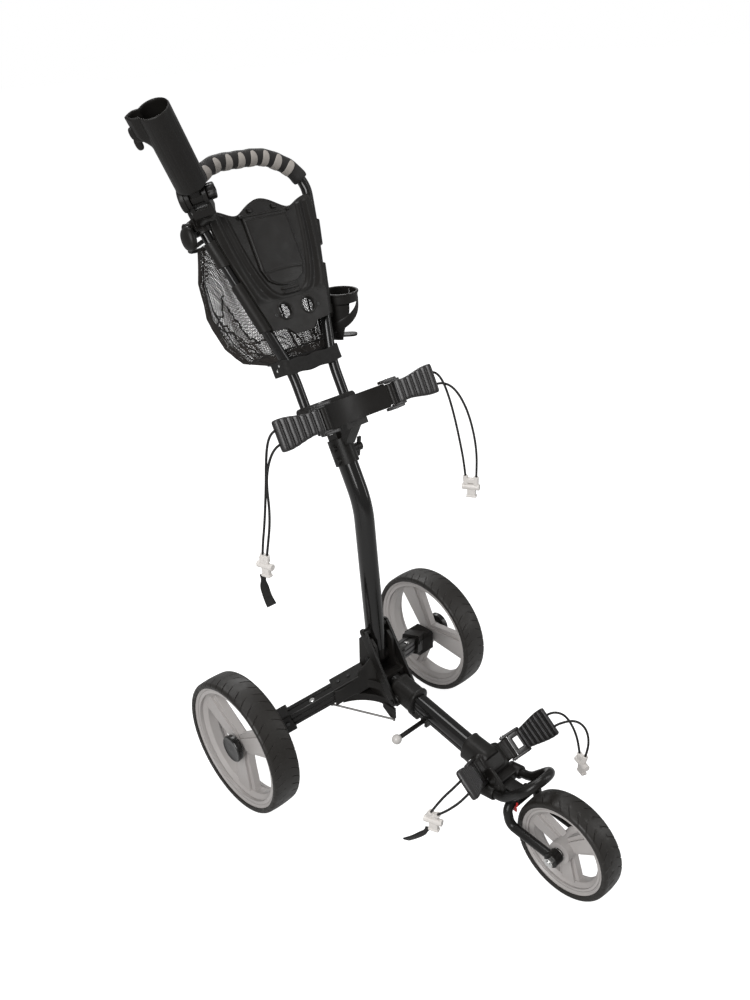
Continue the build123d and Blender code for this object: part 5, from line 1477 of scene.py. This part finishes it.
@dataclass(frozen=True)
class CupHolder:
    """Open cup holder: a ring, a back plate, a curved stay and a small floor on a strip along the tube."""

    axis: tuple = (124 * MM, 301 * MM)
    low: float = 847 * MM
    high: float = 933 * MM
    ring_low: float = 913 * MM
    radius: float = 33 * MM
    wall: float = 2.6 * MM
    facing: float = math.pi + 0.28
    lip: tuple = (
        (0, 30), (1.4, 31), (1.8, 33), (1.4, 34.4), (0, 35), (-2, 34.6), (-3, 33), (-2, 30.6), (0, 30),
    )
    stay: tuple = (
        (32, 920, 0), (31, 906, 8), (26.5, 896, 18), (18, 887, 26.5), (5, 879, 31.6), (-8, 873, 31),
        (-15.8, 869, 27.5),
    )

    def tube(self, t: float) -> Array:
        """Place on the strip beside the handle tube at a station along the handle, in mm."""
        x = 45.6 + 66.4 * (t - 266) / 251 + 8
        return HANDLE.at(x * MM, t * MM, -8 * MM)

    def back(self) -> Shell:
        """Ring and back plate as one wall: r = radius over a half angle that follows the height.

        The plate's half angle grows from 0.62 to 1.12 on its way up, and above ring_low it is a half turn.
        The wall has an outer and an inner face.

        Returns:
            The wall.
        """
        z = np.concatenate([np.linspace(self.low, 0.912, 30), np.linspace(0.9145, self.high, 12)])[:, None]
        half = np.where(z > self.ring_low, np.pi * 0.999, 0.62 + 0.5 * ease((z - self.low) / 0.06))
        u = np.linspace(-1, 1, 72)[None]
        angle = self.facing + u * half
        spoke = np.stack([np.cos(angle), np.sin(angle), np.zeros_like(angle)], -1)
        middle = np.stack([np.broadcast_to(c, angle.shape) for c in (*self.axis, z)], -1)
        rim = (np.abs(u) == 1) | (z == z.min()) | (z == z.max())
        mean = self.radius - self.wall / 2
        outer = middle + spoke * np.where(rim, mean, self.radius)[..., None]
        inner = middle + spoke * np.where(rim, mean, self.radius - self.wall)[..., None]
        return grid(outer) + grid(inner[:, ::-1])

    def build(self) -> None:
        """Builds the wall with its rolled lip, the stay, the floor, the strip and the link to the tube.

        The stay is a flat section along a curve of the fifth degree near its points, each given to the
        right of the axis, up from the ground and toward the front.
        """
        cx, cy = self.axis
        rim = np.array([cx, cy, self.high - 1.6 * MM])
        parts = [self.back(), turned(np.array(self.lip) * MM, rim, GROUND.off, 56)]
        right = unit(np.array([0.73, -0.68, 0]))
        reach = np.array(self.stay) * MM
        share = np.linspace(0, 1, len(reach))
        fine = np.linspace(0, 1, 40)
        out, z, near = (np.polyval(np.polyfit(share, reach[:, k], 5), fine) for k in range(3))
        facing = np.cross(right, GROUND.off)
        radial = out[:, None] * right + near[:, None] * facing
        path = np.array([cx, cy, 0]) + radial + z[:, None] * GROUND.off
        parts.append(carried(path, rounded(16 * MM, 4 * MM, 4.0, 24), radial, 0.7 + 0.6 * fine))
        floor = Axes(np.array([cx + 2 * MM, cy - 4 * MM, self.low + 2 * MM]), right, facing, GROUND.off)
        parts.append(pillow(floor, (24 * MM, 13 * MM, 2.2 * MM), 4.0, 28))
        run = np.linspace(0, 1, 6)[:, None]
        path = self.tube(318) + run * (self.tube(392) - self.tube(318))
        parts.append(carried(path, rounded(6.4 * MM, 7.4 * MM, 5.0, 24), HANDLE.off))
        start = self.tube(350)
        end = np.array([cx - 30 * MM, cy - 8.6 * MM, start[2]])
        path = start + run * (end - start)
        parts.append(carried(path, rounded(8 * MM, 24 * MM, 5.0, 24), GROUND.off))
        made = joined(parts)
        made.piece("cup_cradle", MOULDING, "handle", "black_plastic", stands_for="cup_holder")


@dataclass(frozen=True)
class UmbrellaHolder:
    """Umbrella tube with a beaked mouth and flutes, its wing screw, knob and paddle, in millimetres."""

    radius: float = 26.5
    bore: float = 23.3
    foot: float = 20.0
    mouth: float = 160.0
    flutes: int = 16
    ear: float = 18.1
    knob_r: float = 12.4
    lug: tuple = ((0, 0), (0, 12), (1, 13), (21, 13), (22, 12), (22, 0))
    boss: tuple = ((0, 0), (0, 8), (8, 8), (9, 7), (9, 0))
    cap: tuple = (
        (0, 0), (0, 19), (0.8, 20.6), (6, 21), (8.6, 20.2), (10, 18), (10.3, 14), (9.4, 12), (9.4, 0),
    )
    hub: tuple = ((0, 0), (0, 3), (10.5, 3), (10.5, 6.5), (11.5, 7.5), (18, 7), (20, 5.5), (20.5, 0))
    stem: tuple = ((0, 0), (0, 7), (1, 8), (13, 8), (14, 7), (14, 0))

    def axes(self) -> Axes:
        """Axes at the tilt pin.

        Returns:
            Axes with across toward the beak and off up the tube.
        """
        mount = next(m for m in frame["record"]["mounts"] if m["name"] == "umbrella_socket")
        up = unit(np.array(mount["axis"]))
        side = -unit(np.array(joint("umbrella_tilt")["axis"]))
        return Axes(np.array(joint("umbrella_tilt")["pos_m"]), side, np.cross(up, side), up)

    def wall(self) -> Shell:
        """Tube wall: r(angle, z) round the tube's axis, up the outside to the mouth and down the bore.

        Outside, r = base - flute * bump, and over the beak's angles r runs through its shoulder to its tip,
        faded in with rise(z); inside, the bore does the same, which leaves an open pointed channel.

        Returns:
            The wall.
        """
        angle = np.linspace(-np.pi, np.pi, 193)[None, :-1]
        top, foot, r, bore = self.mouth, self.foot, self.radius, self.bore
        low, high = [foot, foot, foot + 0.6, foot + 2, foot + 5], [top - 6, top - 3, top - 1, top]
        z_out = np.concatenate([low, np.linspace(foot + 8, top - 10, 62), high])[:, None]
        base = np.concatenate([[0, r - 4.5, r - 2.1, r - 0.6], np.full(65, r), [r - 0.1, r - 1.1]])[:, None]
        pitch = 2 * np.pi / self.flutes
        phase = np.abs((angle + pitch / 2) % pitch - pitch / 2) / pitch
        groove = np.exp(-((phase / 0.1) ** 2)) * ease((z_out - 30) / 8) * ease((150 - z_out) / 8)
        beak = np.interp(np.abs(angle), [0, 0.34, 0.5], [17.5, 9.6, 0])
        outer = base - 0.4 * groove + beak * ease((z_out - 104) / 26)
        floor = [foot + 5, foot + 5]
        z_in = np.concatenate([[top, top - 1, top - 4], np.linspace(top - 10, foot + 6, 30), floor])[:, None]
        core = np.concatenate([[bore + 1.1, bore + 0.3], np.full(32, bore), [0]])[:, None]
        channel = np.interp(np.abs(angle), [0, 0.27, 0.4], [16.2, 9.2, 0])
        inner = core + channel * ease((z_in - 108) / 26)
        radius = np.concatenate([outer, inner])
        z = np.concatenate([z_out, z_in])
        height = z + 2 * np.clip(1 - np.abs(angle) / 0.6, 0, 1) * ease((z - 140) / 20)
        across, along = radius * np.cos(angle), radius * np.sin(angle)
        return grid(self.axes().at(across * MM, along * MM, height * MM), wrap_v=True)

    def knob(self, at: Axes) -> None:
        """Lobed tilt knob: rings of radius r * size * (1 + 0.13 * size * cos(5 angle)), with a dished face.

        Args:
            at: the holder's axes.
        """
        angle = np.linspace(0, 2 * np.pi, 80, endpoint=False)[None]
        depth = np.array([0, 0.6, 2, 10, 12, 13, 12.6, 10, 9.6])[:, None]
        size = np.array([0.86, 0.95, 1, 1, 0.95, 0.82, 0.7, 0.58, 0.5])[:, None]
        radius = self.knob_r * size * (1 + 0.13 * size * np.cos(5 * angle))
        rings = at.at((-self.ear - depth) * MM, radius * np.cos(angle) * MM, radius * np.sin(angle) * MM)
        name, node = "umbrella_lobed_knob", "umbrella_tilt_knob"
        capped(rings).piece(name, MOULDING, "swivel", "black_plastic", stands_for=node)

    def build(self) -> None:
        """Builds the tube with its lug and boss, the ear cover, the knob, the wing screw and the paddle."""
        at = self.axes()
        lug, boss, cap, hub, stem = (
            np.array(profile) * MM for profile in (self.lug, self.boss, self.cap, self.hub, self.stem)
        )
        high = (self.mouth - 36) * MM
        tube = joined([
            self.wall(),
            turned(lug, at.at(-11 * MM, 0, 0), at.across, 40),
            pillow(at.moved(0, 0, 13 * MM), (11 * MM, 13 * MM, 12 * MM), 5.0, 28),
            turned(boss, at.at(24.5 * MM, 0, high), at.across, 28),
        ])
        tube.piece("umbrella_sleeve", MOULDING, "holder", "black_plastic", stands_for="umbrella_tube")
        disc = turned(cap, at.at(self.ear * MM, 0, 0), at.across, 44)
        disc.piece("umbrella_ear_cover", MOULDING, "swivel", "black_plastic")
        self.knob(at)
        wings = [turned(hub, at.at(self.bore * MM, 0, high), at.across, 28)]
        for sign in (-1, 1):
            lobe = at.moved(43.5 * MM, 0, high + sign * 9 * MM)
            wings.append(pillow(lobe, (6 * MM, 3.6 * MM, 11 * MM), 2.6, 28))
        name, node = "umbrella_wing_screw", "umbrella_screw"
        joined(wings).piece(name, MOULDING, "holder_screw", "black_plastic", stands_for=node)
        nut = joined([
            turned(stem, HANDLE.at(-138.3 * MM, 0.544, 2 * MM), -HANDLE.across, 32),
            pillow(HANDLE.moved(-150 * MM, 527 * MM, 2 * MM), (9.5 * MM, 20 * MM, 18 * MM), 2.3, 36),
        ])
        nut.piece("umbrella_paddle_leaf", MOULDING, "paddle", "black_plastic", stands_for="umbrella_paddle")


# Carried-over nodes


NODE_FINISH = {
    TUBE_PAINT: ("column_tube", "handle_tube", "front_beam"),
    SATIN_TUBE: (
        "bag_rest_loop", "front_fork", "fold_strut_left", "fold_strut_right", "lock_lever", "rear_leg_left",
        "rear_leg_right",
    ),
    ARM_MOULDING: ("upper_arm_left", "upper_arm_right", "lower_arm_left", "lower_arm_right"),
    MOULDING: ("housing_left", "housing_right", "wheel_bracket_left", "wheel_bracket_right", "front_bracket",
               "slide_sleeve", "column_foot", "collar", "cradle_band", "handle_yoke", "console", "net_tray",
               "cup_holder", "umbrella_clamp", "umbrella_block", "umbrella_tilt_knob", "umbrella_tube",
               "umbrella_screw", "umbrella_paddle", "collar_knob", "scorecard_lid"),
    RIM_GREY: ("rear_rim_left", "rear_rim_right", "front_rim"),
    CAP_BLACK: ("rear_hub_cap_left", "rear_hub_cap_right"),
    STEEL: ("axles", "leg_pins", "rear_bearings_left", "rear_bearings_right", "front_bearings"),
    WIRE_STEEL: ("stay_rods",),
    DARK_STEEL: ("frame_screws",),
    PALE_KNOB: ("lock_knob",),
    RED: ("fork_tab",),
    TYRE_FOAM: ("rear_tyre_left", "rear_tyre_right", "front_tyre"),
    GRIP_FOAM: ("grip",),
    NET_YARN: ("net_bag",),
    TAPE: ("net_rim",),
    CORD_BRAID: ("cord_upper_left", "cord_upper_right", "cord_lower_left", "cord_lower_right"),
}


def dress_nodes() -> None:
    """Gives each carried-over node its finish."""
    for finish, names in NODE_FINISH.items():
        for name in names:
            mesh = frame["nodes"][name].data
            mesh.materials.clear()
            mesh.materials.append(finish.material())
            log.info("%s: %s", name, finish.name)


# Studio


@dataclass(frozen=True)
class Studio:
    """Pale floor, soft lamps and the camera."""

    camera_at: tuple = (-0.9884, -1.0223, 1.3606)
    right: tuple = (0.73033, -0.68098, -0.05365)
    up: tuple = (0.34142, 0.29588, 0.89212)
    back: tuple = (-0.59164, -0.66987, 0.44859)
    lens: float = 33.638
    floor_half: float = 40.0
    floor_colour: tuple = (0.5, 0.5, 0.5, 1)
    floor_glow: float = 0.9
    fill: float = 0.22
    mirrored: float = 0.25

    def seen(self, tree: bpy.types.NodeTree) -> bpy.types.NodeSocket:
        """How fully a ray shows the white surround: 1 for the camera, less in reflections, 0 as a light.

        Args:
            tree: the node tree to work in.

        Returns:
            The output with the share.
        """
        ray = tree.nodes.new("ShaderNodeLightPath").outputs
        bounced = {0: ray["Is Glossy Ray"], 1: ray["Is Transmission Ray"]}
        either = add_node(tree, "Math", bounced, operation="MAXIMUM").outputs["Value"]
        weak = add_node(tree, "Math", {0: either, 1: self.mirrored}, operation="MULTIPLY").outputs["Value"]
        share = {0: ray["Is Camera Ray"], 1: weak}
        return add_node(tree, "Math", share, operation="MAXIMUM").outputs["Value"]

    def strength(self, tree: bpy.types.NodeTree, low: float, high: float) -> bpy.types.NodeSocket:
        """Strength that goes from low to high with how fully a ray shows the surround.

        Args:
            tree: the node tree to work in.
            low: the strength as a light.
            high: the strength for the camera.

        Returns:
            The output with the strength.
        """
        span = {"Value": self.seen(tree), "To Min": low, "To Max": high}
        return add_node(tree, "MapRange", span).outputs["Result"]

    def stance(self, x: tuple | Array, y: tuple | Array, z: tuple | Array, place: tuple) -> Matrix:
        """Matrix of an object at a place with its three axes."""
        return Matrix([*np.column_stack([x, y, z, place]).tolist(), [0, 0, 0, 1]])

    def camera(self) -> None:
        """Camera at the photograph's place and angle."""
        data = bpy.data.cameras.new("camera")
        data.lens = self.lens
        data.sensor_width = 36
        data.clip_end = 60
        made = bpy.data.objects.new("camera", data)
        made.matrix_world = self.stance(self.right, self.up, self.back, self.camera_at)
        bpy.context.scene.collection.objects.link(made)
        bpy.context.scene.camera = made

    def floor(self) -> None:
        """Plain pale floor, a little lit for the camera so that it reads as white round the shadow."""
        h = self.floor_half
        mesh = bpy.data.meshes.new("floor")
        mesh.from_pydata([(-h, -h, 0), (h, -h, 0), (h, h, 0), (-h, h, 0)], [], [(0, 1, 2, 3)])
        made = bpy.data.materials.new("pale_floor")
        made.use_nodes = True
        tree = made.node_tree
        tree.nodes.remove(tree.nodes["Principled BSDF"])
        matte = add_node(tree, "BsdfDiffuse", {"Color": self.floor_colour}).outputs["BSDF"]
        lit = {"Strength": self.strength(tree, 0.0, self.floor_glow)}
        glow = add_node(tree, "Emission", lit).outputs["Emission"]
        both = add_node(tree, "AddShader", {0: matte, 1: glow}).outputs["Shader"]
        set_inputs(tree, tree.nodes["Material Output"], {"Surface": both})
        mesh.materials.append(made)
        floor = bpy.data.objects.new("floor", mesh)
        bpy.context.scene.collection.objects.link(floor)

    def lamp(self, name: str, place: tuple, aim: tuple, size: tuple, power: float) -> None:
        """Soft area lamp.

        Args:
            name: the lamp's name.
            place: where it stands.
            aim: the point that it faces.
            size: width and height.
            power: watts.
        """
        data = bpy.data.lights.new(name, "AREA")
        data.shape = "RECTANGLE"
        data.size, data.size_y = size
        data.energy = power
        made = bpy.data.objects.new(name, data)
        z = unit(np.array(place) - np.array(aim))
        x = unit(np.cross([0, 0, 1], z))
        made.matrix_world = self.stance(x, np.cross(z, x), z, place)
        bpy.context.scene.collection.objects.link(made)

    def world(self) -> None:
        """White surround for the camera, weaker in reflections and as a light."""
        world = bpy.data.worlds.new("surround")
        world.use_nodes = True
        tree = world.node_tree
        lit = {"Color": (1, 1, 1, 1), "Strength": self.strength(tree, self.fill, 1.0)}
        set_inputs(tree, tree.nodes["Background"], lit)
        bpy.context.scene.world = world

    def build(self) -> None:
        """Sets up the camera, floor, lamps and surround."""
        self.camera()
        self.floor()
        self.world()
        middle = (0, 0, 0.6)
        self.lamp("key", (-2.3, -1.0, 2.0), middle, (1.3, 2.2), 78)
        self.lamp("side", (2.0, -2.0, 1.7), middle, (0.5, 2.2), 22)
        self.lamp("rear", (1.4, 2.6, 2.6), middle, (1.4, 1.4), 36)
        self.lamp("top", (0.2, 0.3, 3.2), middle, (1.2, 1.2), 26)
        bpy.context.scene.view_settings.view_transform = "Standard"


def main() -> None:
    """Builds the studio and every sub-assembly."""
    logging.basicConfig(level=logging.INFO, format="%(message)s")
    Studio().build()
    Cords().build()
    dress_nodes()
    for assembly in (
        Wheels(), BagArms(), Chassis(), Grip(), StorageNet(), Console(), CupHolder(), UmbrellaHolder()
    ):
        assembly.build()


if __name__ == "__main__":
    main()
